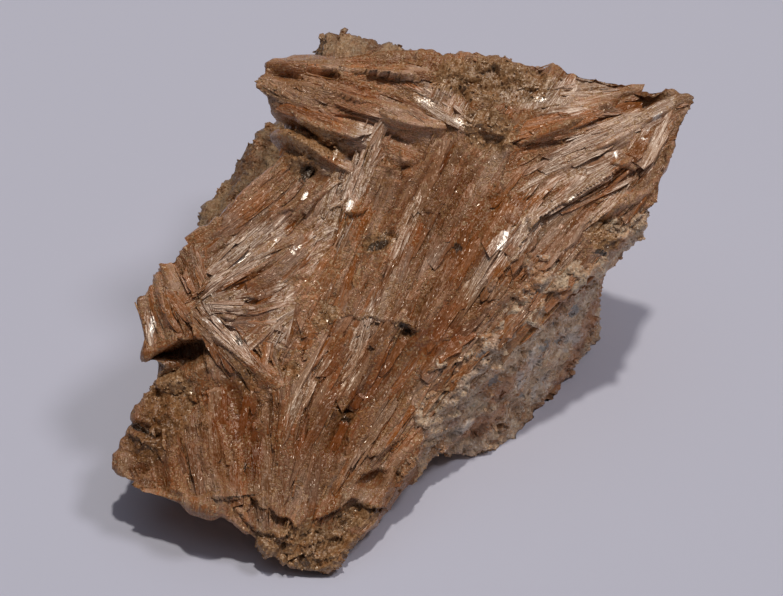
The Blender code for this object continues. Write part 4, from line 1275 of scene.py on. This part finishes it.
skin_normals = outward(lump["points"])
gathered = sum(share * noise(lump["points"], length, seed)
               for seed, (length, share) in enumerate(GATHERING, 81))
crystal = (lump["fibre"][..., 2] > -HOLLOW_REACH) & (lump["rock"] < 0.5)
crumbled = within(in_face_frame(lump["points"]), CRUMBLED)
weights = {
    "bustamite_crumbs": crystal * np.clip(gathered - CRUMBS_ABOVE, 0, 1) * CRUMBS_BETWEEN + crumbled,
    "matrix_grains": lump["rock"] * np.clip(gathered + GRAINS_BELOW, GRAINS_LEAST, 1),
}
dice = np.random.default_rng(201)
for name, (count, smallest, largest, rock) in LUMPS.items():
    chosen = spots_on_skin(weights[name], count, dice)
    at, normal = (v.reshape(-1, 3)[chosen] for v in (lump["points"], skin_normals))
    sizes = smallest * (largest / smallest) ** (dice.random(count) ** 2)
    at = at + normal * (dice.uniform(*SUNK, count) * sizes)[:, None]
    points, corners = grains(at, sizes, dice)
    inside = ((points > lowest + LUMP_MARGIN) & (points < highest - LUMP_MARGIN)).all((1, 2))
    points = points[inside]
    faces = (np.arange(len(points)) * 12)[:, None, None] + icosahedron_faces(corners)
    tone, hue = (np.broadcast_to(dice.random((len(points), 1)), points.shape[:2]) for _ in range(2))
    values = stone_values(points, points, tone, hue, rock, 1.0 - rock)
    small_solids(name, points, [faces.reshape(-1, 3)], values)

# --- The table -----------------------------------------------------------------------
# A sheet of pale lavender-grey paper under the specimen, matt and level.
FLOOR_SIZE = 3000.0


def paper(name):
    """Matt paper: no gloss, one even tint."""
    material = bpy.data.materials.new(name)
    material.use_nodes = True
    shader = material.node_tree.nodes["Principled BSDF"]
    shader.inputs["Base Color"].default_value = linear("#d3d5e4")
    shader.inputs["Roughness"].default_value = 0.9
    return material


half = FLOOR_SIZE / 2
floor = mesh_object(
    "floor",
    np.array([(-half, -half, 0), (half, -half, 0), (half, half, 0), (-half, half, 0)], float),
    [np.array([[0, 1, 2, 3]])],
    {},
    paper("matt_paper"),
)

# --- Light and camera ----------------------------------------------------------------
# One lamp stands almost overhead and gives the crisp shadow.  A second one shines from the
# right, a very broad one from above and behind, and a dim even surround fills the rest.


def sun(name, towards, spread_rad, strength, colour):
    """A distant lamp that shines from a direction, seen under an angle."""
    lamp = bpy.data.lights.new(name, "SUN")
    lamp.angle = spread_rad
    lamp.energy = strength
    lamp.color = linear(colour)[:3]
    made = bpy.data.objects.new(name, lamp)
    x, y, z = towards
    made.rotation_euler = (math.atan2(math.hypot(x, y), z), 0, math.atan2(x, -y))
    bpy.context.scene.collection.objects.link(made)


sun("overhead_lamp", (0.07, 0.06, 1), 0.05, 1.18, "#fff8ef")
sun("side_lamp", (0.57, 0.05, 1), 0.2, 0.63, "#fbf6fa")
sun("broad_lamp", (0.0, 0.2, 1), 1.2, 0.38, "#f2f2ff")

surround = bpy.data.worlds.new("surround")
surround.use_nodes = True
surround.node_tree.nodes["Background"].inputs["Color"].default_value = linear("#eef0ff")
surround.node_tree.nodes["Background"].inputs["Strength"].default_value = 0.035
bpy.context.scene.world = surround
bpy.context.scene.view_settings.view_transform = "Standard"

IMAGE_WIDTH = 783
MM_PER_PIXEL = 0.14  # on the main face
CAMERA_DISTANCE = 400.0
SENSOR = 36.0
LOOK_AT = on_table((-1.2, 38.5, 0.0)) - (*ORIGIN_AT, 0.0)

camera = bpy.data.cameras.new("camera")
camera.sensor_width = SENSOR
camera.lens = SENSOR * CAMERA_DISTANCE / (IMAGE_WIDTH * MM_PER_PIXEL)
viewer = bpy.data.objects.new("camera", camera)
back_from_face = np.array((0, -math.cos(FACE_LEAN), math.sin(FACE_LEAN)))
viewer.location = (LOOK_AT + CAMERA_DISTANCE * back_from_face) * MM
viewer.rotation_euler = (math.pi / 2 - FACE_LEAN, 0, 0)
bpy.context.scene.collection.objects.link(viewer)
bpy.context.scene.camera = viewer
